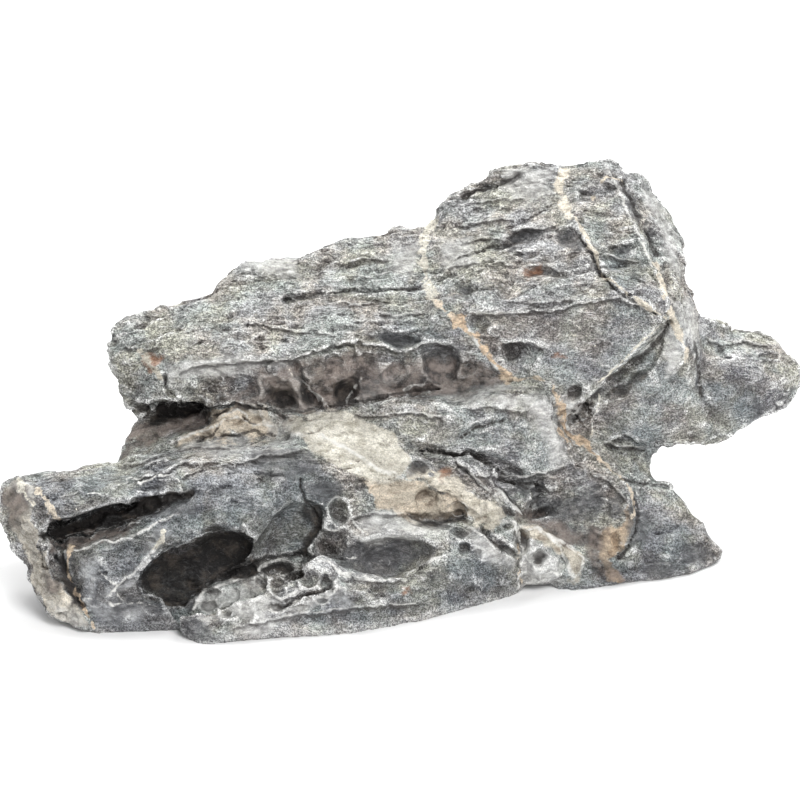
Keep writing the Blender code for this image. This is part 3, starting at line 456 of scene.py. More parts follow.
# Ribs that stand proud: line, half width and height in millimetres.
RIBS = [
    (PEAK_VEIN, 0.6, 1.0), (FLANK_VEIN, 0.7, 0.8), (CORNER_VEIN, 0.6, 0.8),
    ([(605, 165), (618, 190), (632, 222), (648, 255), (664, 290)], 1.0, 0.8),
    ([(455, 322), (470, 333), (482, 348), (494, 364), (508, 375)], 1.2, 0.7),
    ([(563, 410), (567, 428), (585, 445), (598, 457)], 1.0, 0.7),
    ([(260, 575), (266, 579), (268, 588), (273, 596), (281, 600), (288, 596), (296, 591), (303, 589)], 0.9,
       1.6),
    ([(299, 582), (301, 573), (311, 566), (322, 558), (332, 564), (341, 573), (352, 574), (366, 576)], 1.0,
       1.8),
    ([(299, 587), (307, 590), (315, 589), (318, 583)], 0.7, 1.4),
    ([(323, 571), (333, 579), (337, 588)], 0.7, 1.2),
    ([(288, 608), (298, 600), (308, 596), (318, 598), (328, 596), (335, 589), (350, 584)], 0.8, 1.6),
    ([(268, 610), (282, 613), (290, 607)], 0.6, 1.0),
    ([(258, 570), (266, 564), (282, 559), (292, 563), (299, 570)], 1.0, 2.0),
    ([(217, 612), (224, 605), (237, 604), (242, 611), (238, 619), (226, 621), (218, 617)], 0.6, 1.0),
    ([(192, 612), (196, 602), (202, 594), (216, 587), (234, 582), (251, 579), (260, 575)], 0.9, 1.6),
    ([(196, 604), (204, 601), (218, 600)], 0.6, 1.0),
    ([(345, 577), (378, 581), (402, 578), (420, 566), (442, 556)], 0.8, 1.0),
    ([(326, 530), (338, 532), (350, 518), (362, 532)], 0.7, 1.0),
    ([(164, 531), (160, 542), (152, 553), (141, 564), (132, 576), (118, 586), (108, 597)], 0.7, 1.4),
    ([(203, 409), (220, 404), (236, 401), (252, 404), (260, 411), (264, 420)], 1.0, 1.8),
    ([(220, 418), (231, 412), (238, 409), (245, 414), (250, 420)], 0.8, 1.4),
    ([(212, 428), (226, 420), (238, 418), (247, 422)], 0.9, 1.6),
    ([(171, 443), (190, 435), (211, 428)], 0.9, 1.6),
    ([(252, 425), (264, 424), (275, 428)], 0.9, 1.4),
    ([(258, 402), (268, 409), (277, 417)], 0.7, 1.2),
    ([(342, 556), (352, 559), (362, 555)], 0.4, 0.7),
    ([(526, 530), (536, 526), (548, 536), (561, 548), (567, 562), (572, 577)], 1.1, 2.0),
    ([(548, 534), (560, 541), (574, 549), (584, 556), (582, 567), (573, 580)], 0.9, 1.4),
    ([(528, 536), (530, 552), (534, 568), (546, 572), (560, 574)], 0.8, 1.4),
    ([(503, 522), (514, 522), (518, 530), (516, 548), (522, 556), (519, 574), (519, 590)], 0.8, 1.4),
    ([(464, 524), (480, 534), (500, 552), (514, 560)], 0.7, 1.4),
    ([(62, 541), (74, 550), (90, 547), (100, 540), (115, 542), (128, 538), (142, 531), (160, 521),
       (180, 513)], 0.7, 1.0),
    ([(100, 556), (99, 570), (106, 580), (116, 584)], 0.5, 0.6),
    ([(114, 590), (124, 602), (140, 603), (158, 608), (168, 607)], 0.5, 0.6),
    ([(84, 600), (96, 598), (112, 606), (124, 602)], 0.5, 0.6),
    ([(107, 495), (120, 485), (130, 478), (140, 484), (152, 479), (166, 474), (178, 480), (183, 496)], 0.6,
       0.9),
    ([(160, 478), (170, 469), (182, 462)], 0.5, 0.7),
    ([(60, 497), (80, 492), (100, 494), (118, 500)], 0.4, 0.6),
    ([(500, 520), (516, 524), (520, 538), (524, 556)], 0.7, 1.0),
    ([(448, 456), (464, 466), (482, 484), (500, 502), (514, 514)], 0.8, 1.3),
    ([(474, 466), (490, 482), (506, 498), (522, 514)], 0.7, 1.1),
    ([(302, 378), (310, 390), (320, 398), (328, 408)], 0.7, 1.2),
    ([(362, 378), (352, 392), (346, 404)], 0.7, 1.0),
    ([(404, 390), (415, 386), (424, 385)], 0.8, 0.8),
    (ROOT_VEIN, 0.5, 0.6),
    ([(292, 436), (310, 432), (326, 438), (345, 447), (362, 458), (380, 470), (402, 478)], 1.2, 0.9),
]

# Veins: line, half width in millimetres, and warmth from 0, cream, to 1, tan.
VEINS = [
    ([(429, 222), (425, 240), (424, 262), (425, 273), (431, 285), (433, 297)], 2.0, 0.0),
    ([(433, 297), (438, 304), (447, 313), (456, 321)], 1.1, 0.5),
    ([(456, 321), (466, 331), (479, 341), (487, 355), (497, 368), (508, 376)], 1.7, 0.8),
    ([(508, 376), (520, 379), (540, 378), (549, 387), (558, 398), (562, 412)], 0.7, 0.6),
    ([(562, 408), (565, 420), (563, 430), (571, 438), (586, 446), (598, 458)], 1.7, 0.8),
    ([(598, 458), (608, 466), (620, 478), (630, 493), (634, 506), (632, 518)], 0.45, 0.4),
    (PEAK_VEIN, 0.75, 0.2), (FLANK_VEIN, 0.8, 0.25), (CORNER_VEIN, 0.4, 0.0), (ROOT_VEIN, 0.4, 0.0),
    ([(560, 308), (576, 326), (590, 342), (602, 352)], 0.2, 0.0),
    ([(248, 308), (270, 332), (285, 360), (296, 380), (305, 398)], 0.2, 0.1),
    ([(302, 256), (310, 270), (318, 284)], 0.2, 0.0),
    ([(38, 492), (44, 498), (51, 509), (58, 519)], 1.0, 0.35),
    ([(72, 478), (76, 495), (78, 512)], 0.2, 0.0),
    ([(164, 531), (161, 540), (156, 548)], 0.7, 0.0),
    ([(140, 352), (150, 364), (161, 378)], 1.1, 0.1),
    ([(72, 545), (67, 555), (71, 570), (74, 584), (80, 600), (86, 616), (92, 630)], 0.8, 0.7),
    ([(20, 482), (27, 496), (31, 512)], 1.3, 0.0),
    ([(518, 545), (519, 570), (521, 590)], 0.35, 0.5),
    ([(620, 182), (606, 176), (600, 184), (592, 198)], 0.5, 0.35),
]
# Calcite crusts: outline on the front map and warmth.
CALCITE = [
    ([(278, 424), (290, 414), (312, 410), (348, 413), (373, 424), (389, 433), (397, 448), (412, 460),
       (402, 478), (392, 486), (372, 482), (356, 480), (335, 464), (315, 451), (306, 440), (290, 435)], 0.0),
    ([(412, 462), (436, 470), (456, 478), (476, 495), (497, 507), (502, 517), (488, 518), (470, 512),
       (452, 498), (430, 486), (410, 480)], 0.15),
    ([(358, 478), (385, 484), (410, 480), (432, 486), (456, 498), (470, 512), (455, 521), (430, 522),
       (410, 516), (378, 512), (372, 498)], 0.45),
    ([(468, 506), (480, 498), (496, 504), (504, 518), (494, 524), (478, 522)], 0.1),
    ([(522, 530), (536, 522), (552, 531), (568, 543), (585, 556), (583, 570), (573, 580), (564, 574),
       (558, 558), (544, 546), (530, 538)], 0.2),
    ([(2, 505), (8, 486), (16, 480), (26, 486), (34, 516), (42, 545), (53, 560), (58, 582), (78, 604),
       (92, 630), (55, 618), (38, 596), (20, 545)], 0.2),
    ([(602, 536), (612, 526), (624, 528), (631, 510), (637, 520), (632, 538), (624, 552), (615, 557),
       (611, 567), (614, 578), (624, 586), (610, 586), (602, 568), (601, 550)], 0.9),
    ([(556, 163), (566, 163), (567, 190), (571, 215), (562, 217), (556, 190)], 0.2),
    ([(214, 404), (236, 400), (254, 402), (264, 410), (268, 420), (277, 424), (276, 436), (250, 438),
       (222, 440), (196, 441), (170, 446), (168, 442), (190, 432), (210, 425), (212, 416)], 0.4),
]
# Faces that stayed smooth: outlines on the front map.
SMOOTH = [
    [(462, 318), (500, 316), (560, 313), (620, 300), (660, 320), (640, 345), (600, 385), (575, 405),
      (552, 384), (512, 374), (536, 350), (500, 335)],
    [(600, 390), (665, 330), (700, 325), (790, 345), (798, 380), (740, 440), (660, 440), (600, 432)],
    [(80, 545), (165, 530), (140, 575), (150, 595), (185, 625), (90, 630)],
    [(200, 470), (310, 462), (330, 500), (310, 545), (250, 520), (180, 525)],
    [(396, 402), (440, 394), (534, 394), (552, 430), (570, 470), (520, 472), (460, 450), (400, 436)],
    [(636, 500), (670, 490), (716, 550), (640, 578), (622, 556)],
    [(30, 482), (180, 470), (190, 495), (60, 520)],
    [(333, 556), (345, 540), (352, 522), (380, 512), (440, 522), (500, 548), (522, 590), (480, 602),
      (380, 612), (345, 602), (352, 580), (336, 566)],
    [(195, 560), (215, 535), (250, 530), (300, 500), (322, 505), (318, 540), (280, 560), (230, 575)],
    [(225, 382), (300, 366), (345, 356), (440, 362), (480, 370), (440, 392), (340, 404), (262, 408)],
    [(200, 620), (320, 608), (480, 590), (500, 604), (300, 640), (215, 640)],
]
# Faces full of small pits with sharp rims: outlines on the front map.
PITTED = [
    [(184, 604), (200, 590), (250, 572), (262, 556), (290, 556), (322, 550), (345, 562), (354, 575),
      (358, 598), (330, 614), (262, 622), (215, 634), (190, 622)],
    [(464, 496), (505, 498), (530, 516), (562, 532), (592, 552), (588, 577), (560, 590), (525, 596),
      (508, 580), (500, 556), (480, 540), (460, 524)],
    [(326, 500), (362, 505), (366, 535), (330, 545)],
]
# Stains and tones on the front map, by the name of the attribute that holds each; some are painted shade in
# recesses and hollows, and painted highlights on lit faces and edges.
STAINS = {
    "rust": [
        [(143, 354), (152, 353), (160, 362), (155, 368), (147, 364)],
        [(400, 584), (408, 584), (410, 592), (403, 593)],
        [(548, 355), (560, 350), (564, 354), (552, 359)],
        [(525, 268), (538, 266), (540, 275), (528, 276)],
        [(440, 470), (450, 468), (452, 476), (443, 477)],
    ],
    # Darker slate: partly the stone's own dark patches, partly painted shade in the hollows, scoops, the bowl
    # and the slot.
    "dark": [
        [(648, 568), (655, 560), (672, 558), (678, 566), (670, 577), (652, 578)],
        [(682, 556), (692, 545), (706, 544), (712, 552), (702, 566), (688, 568)],
        [(750, 402), (756, 402), (758, 410), (770, 412), (764, 420), (754, 420)],
        [(408, 462), (420, 458), (430, 466), (424, 476), (412, 474)],
        [(438, 462), (446, 460), (450, 468), (442, 472)],
        [(300, 486), (330, 482), (342, 498), (320, 502), (304, 498)],
        [(250, 456), (280, 452), (314, 450), (318, 470), (300, 480), (262, 478)],
        [(60, 548), (72, 552), (78, 590), (84, 606), (70, 590), (62, 570)],
        [(622, 184), (634, 196), (650, 230), (656, 250), (638, 228), (624, 200)],
        [(183, 608), (190, 604), (204, 620), (216, 640), (196, 642), (184, 636)],
        [(338, 554), (350, 545), (400, 544), (432, 548), (412, 562), (396, 574), (372, 574), (345, 566)],
        [(362, 336), (390, 333), (418, 334), (420, 344), (398, 348), (376, 342)],
        [(424, 350), (448, 342), (462, 352), (456, 376), (436, 380)],
        [(500, 476), (540, 478), (548, 505), (600, 480), (604, 520), (560, 520), (520, 500)],
        [(557, 238), (566, 228), (576, 229), (584, 244), (574, 252), (562, 248)],
        [(507, 244), (516, 236), (540, 229), (542, 237), (524, 245), (508, 249)],
        [(452, 284), (466, 280), (471, 290), (464, 298), (456, 292)],
        [(525, 270), (540, 264), (560, 273), (556, 278), (536, 276)],
        [(612, 246), (626, 242), (634, 250), (622, 255), (612, 252)],
        [(338, 560), (360, 566), (400, 568), (396, 580), (372, 580), (350, 574)],
        [(560, 522), (600, 526), (598, 548), (566, 540)],
        [(608, 500), (622, 496), (626, 516), (612, 518)],
        [(628, 512), (646, 508), (650, 545), (632, 550)],
        [(114, 600), (140, 598), (170, 606), (168, 618), (120, 616)],
        [(150, 506), (196, 498), (196, 510), (150, 520)],
    ],
    "dim": [
        [(26, 478), (100, 478), (180, 474), (262, 468), (322, 462), (334, 500), (310, 545), (262, 560),
          (200, 590), (182, 640), (92, 634), (78, 600), (62, 566), (40, 530)],
        [(345, 590), (400, 586), (450, 560), (500, 556), (520, 588), (480, 604), (400, 614), (345, 620),
          (290, 626), (300, 610)],
        [(370, 330), (470, 322), (480, 332), (420, 346), (376, 344)],
        [(600, 240), (650, 260), (644, 286), (606, 286)],
        [(100, 474), (176, 456), (180, 478), (110, 494)],
        [(590, 560), (716, 552), (700, 572), (590, 590), (550, 592)],
        [(636, 520), (690, 524), (712, 548), (690, 560), (620, 556)],
        [(600, 420), (660, 428), (656, 456), (606, 462)],
        [(700, 380), (760, 384), (756, 420), (712, 416)],
        [(2, 505), (8, 486), (16, 480), (26, 486), (34, 516), (42, 545), (53, 560), (58, 582), (60, 606),
          (38, 596), (20, 545)],
        [(444, 366), (470, 360), (505, 376), (498, 388), (446, 392), (400, 398), (404, 380)],
    ],
    # Painted shade, with some dark brown of the stone itself, in the scoops under the lip, the cave, the slot
    # and other recesses.
    "recess_shade": [
        [(267, 384), (285, 388), (298, 404), (280, 410), (268, 400)],
        [(300, 376), (311, 391), (324, 405), (310, 409), (300, 396)],
        [(330, 384), (352, 380), (358, 392), (345, 406), (332, 404)],
        [(138, 577), (150, 563), (163, 551), (186, 545), (205, 534), (225, 530), (245, 533), (255, 541),
          (252, 556), (262, 566), (284, 560), (298, 570), (300, 580), (284, 578), (258, 574), (225, 582),
          (200, 592), (184, 606), (168, 608), (158, 596), (145, 592)],
        [(43, 534), (60, 524), (80, 518), (100, 513), (108, 506), (130, 499), (165, 491), (192, 490),
          (198, 495), (165, 511), (135, 520), (100, 525), (80, 531), (62, 537), (46, 541)],
        [(518, 530), (524, 530), (527, 542), (524, 553), (519, 550), (517, 540)],
        [(531, 554), (542, 552), (544, 560), (538, 564), (531, 562)],
        [(54, 560), (62, 572), (78, 592), (82, 606), (68, 594), (57, 578)],
        [(306, 504), (324, 506), (326, 522), (316, 538), (300, 554), (284, 560), (296, 546), (308, 524)],
        [(142, 411), (196, 406), (204, 414), (190, 421), (150, 422)],
        [(268, 604), (282, 609), (296, 600), (292, 607), (282, 612), (270, 610)],
        [(527, 517), (538, 511), (557, 506), (558, 511), (543, 516)],
        [(479, 524), (494, 534), (506, 543), (518, 554), (516, 558), (500, 547), (486, 536)],
        [(414, 520), (468, 518), (464, 525), (420, 526)],
        [(596, 402), (612, 387), (640, 373), (652, 372), (638, 385), (606, 402)],
        [(214, 390), (224, 388), (228, 398), (216, 400)],
    ],
    # Paler tone: partly paler stone, partly painted highlights on lit faces and edges, such as the middle
    # ledge's right edge, the ledge top and the right flank.
    "pale": [
        [(78, 556), (98, 556), (98, 600), (140, 606), (140, 622), (100, 622), (86, 606)],
        [(520, 536), (538, 542), (556, 560), (560, 578), (530, 588), (520, 570)],
        [(190, 600), (258, 574), (262, 590), (282, 610), (330, 590), (350, 584), (352, 606), (262, 622),
          (205, 620)],
        [(666, 325), (676, 330), (684, 352), (680, 366), (668, 374), (664, 350)],
        [(440, 392), (500, 384), (534, 390), (550, 430), (566, 462), (548, 440), (520, 402), (470, 402)],
        [(366, 516), (410, 514), (445, 526), (440, 536), (380, 534), (360, 528)],
        [(690, 300), (702, 325), (692, 350), (684, 330), (676, 300)],
        [(50, 604), (76, 606), (92, 630), (70, 628), (50, 614)],
        [(12, 480), (26, 486), (34, 512), (28, 518), (20, 498)],
        [(150, 540), (160, 528), (168, 532), (160, 548), (146, 564), (132, 580), (112, 600), (98, 602),
          (100, 590), (124, 580), (140, 560)],
        [(165, 366), (192, 361), (232, 358), (276, 358), (290, 362), (250, 370), (210, 376), (170, 378)],
        [(530, 388), (544, 396), (556, 424), (570, 458), (560, 470), (546, 444), (534, 408)],
        [(205, 637), (252, 624), (310, 616), (262, 636)],
        [(556, 400), (572, 398), (580, 408), (570, 424), (558, 420)],
        [(288, 388), (300, 384), (322, 406), (316, 414), (298, 408)],
        [(262, 420), (292, 420), (296, 436), (268, 438)],
        [(350, 384), (384, 376), (392, 390), (360, 408)],
        [(444, 388), (500, 384), (496, 398), (470, 408), (446, 402)],
        [(250, 444), (284, 444), (280, 460), (252, 460)],
        [(408, 518), (442, 520), (438, 527), (412, 525)],
        [(392, 244), (418, 242), (416, 270), (396, 272)],
        [(440, 242), (472, 240), (476, 266), (442, 270)],
        [(500, 168), (548, 168), (552, 196), (510, 200)],
        [(524, 500), (532, 488), (542, 486), (540, 500), (528, 510)],
        [(350, 536), (400, 532), (420, 540), (400, 545), (360, 544)],
        [(236, 400), (254, 402), (262, 412), (250, 414), (238, 408)],
        [(186, 398), (200, 396), (204, 408), (192, 410)],
        [(470, 528), (492, 538), (512, 556), (508, 572), (486, 560), (464, 540)],
        [(236, 258), (296, 256), (298, 276), (240, 276)],
        [(172, 446), (240, 440), (290, 440), (300, 448), (250, 454), (176, 454)],
        [(640, 190), (652, 196), (676, 236), (682, 280), (672, 270), (656, 230)],
    ],
    "brown": [
        [(196, 404), (208, 404), (212, 424), (200, 432), (172, 434), (180, 424), (192, 416)],
        [(266, 404), (276, 408), (290, 414), (284, 422), (274, 420)],
        [(225, 396), (262, 374), (300, 364), (345, 354), (400, 362), (440, 360), (480, 366), (505, 376),
          (500, 386), (440, 392), (395, 398), (340, 406), (300, 412), (262, 408), (235, 405)],
        [(590, 524), (606, 528), (604, 560), (618, 580), (596, 580), (586, 552)],
        [(50, 540), (84, 528), (120, 522), (136, 520), (122, 536), (100, 540), (84, 547), (66, 547),
          (52, 552)],
        [(0, 505), (6, 490), (20, 486), (25, 515), (16, 528), (8, 524)],
        [(38, 568), (52, 562), (62, 586), (52, 596), (42, 590)],
        [(500, 508), (530, 512), (560, 522), (584, 536), (570, 544), (530, 524), (504, 518)],
        [(120, 420), (170, 418), (196, 424), (150, 442), (118, 456)],
    ],
}


# ---------------------------------------------------------------- the worn skin

def fine_skin():
    """A copy of the solid with an even, fine grain."""
    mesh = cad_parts["stone"].data.copy()
    mesh.name = "worn_stone"
    stone = bpy.data.objects.new("worn_stone", mesh)
    bpy.context.scene.collection.objects.link(stone)
    grain = stone.modifiers.new("grain", "REMESH")
    grain.mode = "VOXEL"
    grain.voxel_size = VOXEL * MM
    apply_modifiers(stone)
    return stone


def apply_modifiers(obj):
    graph = bpy.context.evaluated_depsgraph_get()
    mesh = bpy.data.meshes.new_from_object(obj.evaluated_get(graph))
    obj.modifiers.clear()
    obj.data = mesh


def wear(stone):
    """Weathers the even skin, then cuts the drawn scarps, hollows, cracks and ribs into the side in view."""
    mesh = stone.data
    points = read_points(mesh)
    ends = edge_ends(mesh)
    grounded = ramp(points[:, 2], 0.5, 5.0)
    points = points + (spread(points, ends, 3) - points) * grounded[:, None]
    write_points(mesh, points)
    broad = spread(read_normals(mesh), ends, 12)
    broad /= np.linalg.norm(broad, axis=1)[:, None]
    seen = spread(in_view(mesh, points, broad), ends, 2)
    points = points + broad * (weathering(points, broad, seen) * grounded)[:, None]
    into = -(0.55 * broad + 0.45 * TOWARD_CAMERA)
    points = points + into * (carving(points) * seen * grounded)[:, None]
    points[:, 2] = np.where(points[:, 2] < FLAT_SOLE, 0.0, points[:, 2])
    write_points(mesh, points)


def share_inside(spots, outlines, margin):
    """1 well inside any of the outlines on the front map, 0 outside them all."""
    return ramp(-np.minimum.reduce([inside_gap(spots, outline) for outline in outlines]), -margin, margin)


def weathering(points, broad, seen):
    """How far the weather raised or lowered each point of the skin, in millimetres."""
    along_bed = np.stack([points @ BED_STRIKE, points @ BED_DIP, points @ BED_RISE], axis=1)
    flat_bed = ramp(broad @ BED_RISE, 0.72, 0.9)
    cliff = 1.0 - flat_bed
    warp = points + 2.2 * drift(points, 8.0, (41, 45, 49))
    bed_warp = along_bed + 1.6 * drift(points, 7.0, (53, 57, 61))
    spots = front_map(warp)
    calm_patches = 0.8 * ramp(noise(points, CALM_PATCHES, CALM_SEED), 0.0, 0.5)
    calm = np.maximum(share_inside(spots, SMOOTH, 2.5) * seen, calm_patches)
    lively = 1.0 - 0.85 * calm
    pitted = share_inside(spots, PITTED, 2.0) * seen
    behind = 0.5 * ramp(-points[:, 2], -55.0, -20.0) * (1.0 - seen)

    moved = flat_bed * bed_sheets(along_bed)
    moved += cliff * (1.0 - 0.8 * calm) * laminae(points, along_bed)
    moved += CHIPS.depth * cliff * (1.0 - 0.65 * calm) * chips(warp, CHIPS.size, CHIPS.seed)
    moved += BED_CHIPS.depth * lively * chips(bed_warp, BED_CHIPS.size, BED_CHIPS.seed)
    moved += behind * (REAR_BOWLS.depth * scallops(warp, REAR_BOWLS.size, REAR_BOWLS.seed) - 0.5)
    bowls = scallops(warp, CLIFF_BOWLS.size, CLIFF_BOWLS.seed) - 0.4
    moved += CLIFF_BOWLS.depth * cliff * (1.0 - calm) * bowls
    moved -= BED_GAPS.depth * flat_bed * ramp(rough(along_bed, BED_GAPS.size, BED_GAPS.seed, 3), 0.5, 0.8)
    moved += BROAD_CHIPS.depth * cliff * lively * chips(warp, BROAD_CHIPS.size, BROAD_CHIPS.seed)
    moved += SWELLING.depth * rough(points, SWELLING.size, SWELLING.seed, 2)
    moved += GRAIN.depth * lively * rough(bed_warp, GRAIN.size, GRAIN.seed, 3)
    moved *= 1.0 - 0.8 * pitted
    moved += pitted * (PITTING.depth * scallops(warp, PITTING.size, PITTING.seed) - 0.3)
    return moved


def ragged_spots(points):
    """The front map of the points, shaken a little for drawn lines and more for hollows."""
    fine = drift(points, 4.0, (101, 105), 3)
    coarse = drift(points, 11.0, (121, 125))
    spots = front_map(points)
    return spots + 2.2 * fine, spots + 2.0 * fine + 3.0 * coarse


def in_hollow(spots, hollow):
    """Where the spots are in a hollow, along and across it, counted in its half sizes."""
    right, down, half_right, half_down, turn, _ = hollow
    cosine, sine = math.cos(math.radians(turn)), math.sin(math.radians(turn))
    from_right, from_down = spots[:, 0] - right, spots[:, 1] - down
    along = (from_right * cosine + from_down * sine) / half_right
    return along, (from_down * cosine - from_right * sine) / half_down


def carving(points):
    """How deep the drawn features go at each point, in millimetres."""
    ragged, torn = ragged_spots(points)
    sunk = np.zeros(len(points))
    for line, drop, reach in SCARPS:
        below, middle = beside_line(ragged, line)
        sunk += drop * middle * ramp(below, 0.0, 0.7) * np.exp(-np.clip(below, 0.0, None) / reach)
    for outline, drop, margin in FORMS:
        sunk += drop * np.clip(-inside_gap(ragged, outline) / margin, 0.0, 1.0) ** 0.7
    for hollow in HOLLOWS:
        sunk += hollow[-1] * hollow_profile(*in_hollow(torn, hollow))
    uneven = np.clip(1.0 + 1.8 * rough(points, 6.0, 129, 2), 0.35, 2.0)
    for line, half_width, depth in CRACKS:
        sunk += depth * np.exp(-(line_gap(ragged, line) / (half_width * uneven)) ** 2)
    for line, half_width, height in RIBS:
        sunk -= height * np.exp(-line_gap(ragged, line) / half_width)
    return sunk


def hollow_profile(along, across):
    """The depth of a hollow as a share of its deepest, which lies under its upper rim."""
    inside = np.clip(1.0 - along**2 - across**2, 0.0, 1.0)
    return inside**0.6 * (1.0 - 0.35 * np.clip(across, -1.0, 1.0))


def bed_sheets(along_bed):
    """Broken sheets on the bed tops: each rises slowly and ends in a small scarp that faces down the dip."""
    moved = np.zeros(len(along_bed))
    for pitch, height, seed in SHEETS:
        bend = rough(along_bed, (3.6 * pitch, 1.6 * pitch, 1.6 * pitch), seed, 3)
        turn = along_bed[:, 1] / pitch + 1.1 * bend
        sheet = turn - np.floor(turn)
        patch = ramp(noise(along_bed, (34.0, 15.0, 15.0), seed + 5), -0.1, 0.4)
        moved += patch * height * (np.minimum(sheet / 0.82, (1.0 - sheet) / 0.18) - 0.5)
    return moved


def laminae(points, along_bed):
    """Thin beds that stick out of the cliffs."""
    moved = np.zeros(len(points))
    for pitch, depth, seed in LAMINAE:
        layer = along_bed[:, 2] / pitch + 0.9 * rough(points, (30.0, 18.0, 14.0), seed, 3)
        within = layer - np.floor(layer)
        patch = ramp(noise(points, 20.0, seed + 4), -0.2, 0.4)
        moved += depth * patch * (np.minimum(within / 0.6, (1.0 - within) / 0.4) - 0.5)
    return moved


def thin_out(stone):
    """Fewer triangles: first on the sides turned from the camera, then all over."""
    mesh = stone.data
    points = read_points(mesh)
    ends = edge_ends(mesh)
    hidden = spread(1.0 - in_view(mesh, points, read_normals(mesh)), ends, 6) > 0.9
    away = stone.vertex_groups.new(name="away")
    away.add(np.flatnonzero(hidden).tolist(), 1.0, "REPLACE")
    thin_away = stone.modifiers.new("thin away", "DECIMATE")
    thin_away.vertex_group = "away"
    thin_away.ratio = 1.0 - hidden.mean() * (1.0 - AWAY_KEPT)
    apply_modifiers(stone)
    thin = stone.modifiers.new("thin", "DECIMATE")
    thin.ratio = min(1.0, TRIANGLES / sum(len(p.vertices) - 2 for p in stone.data.polygons))
    apply_modifiers(stone)
    stone.vertex_groups.clear()
    remove_scraps(stone.data)


def remove_scraps(mesh):
    """Takes out faces without area and every loose crumb, so that one closed skin is left."""
    grid = bmesh.new()
    grid.from_mesh(mesh)
    bmesh.ops.dissolve_degenerate(grid, dist=SCRAP * MM, edges=grid.edges)
    left = set(grid.verts)
    skin = set()
    while left:
        part = joined_to(left.pop())
        left -= part
        skin = max(skin, part, key=len)
    crumbs = [corner for corner in grid.verts if corner not in skin]
    bmesh.ops.delete(grid, geom=crumbs, context="VERTS")
    grid.to_mesh(mesh)
    grid.free()


def joined_to(start):
    """Every corner of the mesh that edges join to this one."""
    found = {start}
    fresh = [start]
    while fresh:
        corner = fresh.pop()
        beside = {edge.other_vert(corner) for edge in corner.link_edges} - found
        found |= beside
        fresh.extend(beside)
    return found


# ---------------------------------------------------------------- what the material reads from the skin

def sky_share(mesh, points, normals, reach=28.0, rays=16):
    """How much of the half sphere over each corner is open, from 0 to 1."""
    tree = BVHTree.FromPolygons([v.co for v in mesh.vertices], [p.vertices for p in mesh.polygons])
    turns = np.arange(rays) * GOLDEN_ANGLE
    rises = np.sqrt((np.arange(rays) + 0.5) / rays)
    flat = np.sqrt(1.0 - rises**2)
    side = np.cross(normals, np.where(np.abs(normals[:, 2:]) < 0.9, [[0.0, 0.0, 1.0]], [[1.0, 0.0, 0.0]]))
    side /= np.linalg.norm(side, axis=1)[:, None]
    other = np.cross(normals, side)
    starts = (points + 0.4 * normals) * MM
    open_rays = np.zeros(len(points))
    for turn, rise, spare in zip(turns, rises, flat):
        ways = normals * rise + side * (spare * math.cos(turn)) + other * (spare * math.sin(turn))
        open_rays += [
            tree.ray_cast(Vector(start), Vector(way), reach * MM)[0] is None
            for start, way in zip(starts, ways)
        ]
    return open_rays / rays


def write_value(mesh, name, values):
    layer = mesh.attributes.new(name, "FLOAT", "POINT")
    layer.data.foreach_set("value", values.astype(np.float32))


def mark_skin(stone):
    """Writes what the material needs to know about each corner."""
    mesh = stone.data
    points, normals, ends = read_points(mesh), read_normals(mesh), edge_ends(mesh)
    spots = front_map(points)
    seen = spread(in_view(mesh, points, normals), ends, 4)
    ragged = spots + 1.5 * drift(points, 4.0, (111, 115), 3)
    torn = ragged + 7.0 * drift(points, 12.0, (131, 135), 3)

    calmer = AWAY_RELIEF + (1.0 - AWAY_RELIEF) * seen
    edge = np.einsum("ij,ij->i", points - spread(points, ends, 7), normals) * ramp(points[:, 2], 1.0, 6.0)
    write_value(mesh, "edge", spread(edge, ends, 1) * calmer)
    write_value(mesh, "swell", np.einsum("ij,ij->i", points - spread(points, ends, 30), normals) * calmer)
    write_value(mesh, "sky", spread(sky_share(mesh, points, normals), ends, 1))
    smooth = np.maximum(share_inside(ragged, SMOOTH, 4.0), 0.7 * share_inside(ragged, PITTED, 2.0))
    away = 0.35 + 0.45 * ramp(noise(points, CALM_PATCHES, CALM_SEED), -0.2, 0.3)
    write_value(mesh, "smooth", smooth * seen + away * (1.0 - seen))

    uneven = np.clip(0.85 + 1.3 * rough(points, 7.0, 141, 2), 0.3, 1.6)
    wavy = ragged + 3.0 * drift(points, 9.0, (145, 147))
    gaps = [line_gap(wavy, line) / (half_width * uneven) - 1.0 for line, half_width, _ in VEINS]
    warmths = [warmth for _, _, warmth in VEINS]
    write_nearest(mesh, ends, "vein", gaps, warmths)
    gaps = [inside_gap(torn, outline) + FAR * (1.0 - seen) for outline, _ in CALCITE]
    warmths = [warmth for _, warmth in CALCITE]
    write_nearest(mesh, ends, "crust", gaps, warmths)
    for name, outlines in STAINS.items():
        gap = np.minimum.reduce([inside_gap(torn, outline) for outline in outlines])
        write_value(mesh, name, gap * seen + (0.0 if name == "dim" else FAR) * (1.0 - seen))
    write_marks(mesh, points, seen)


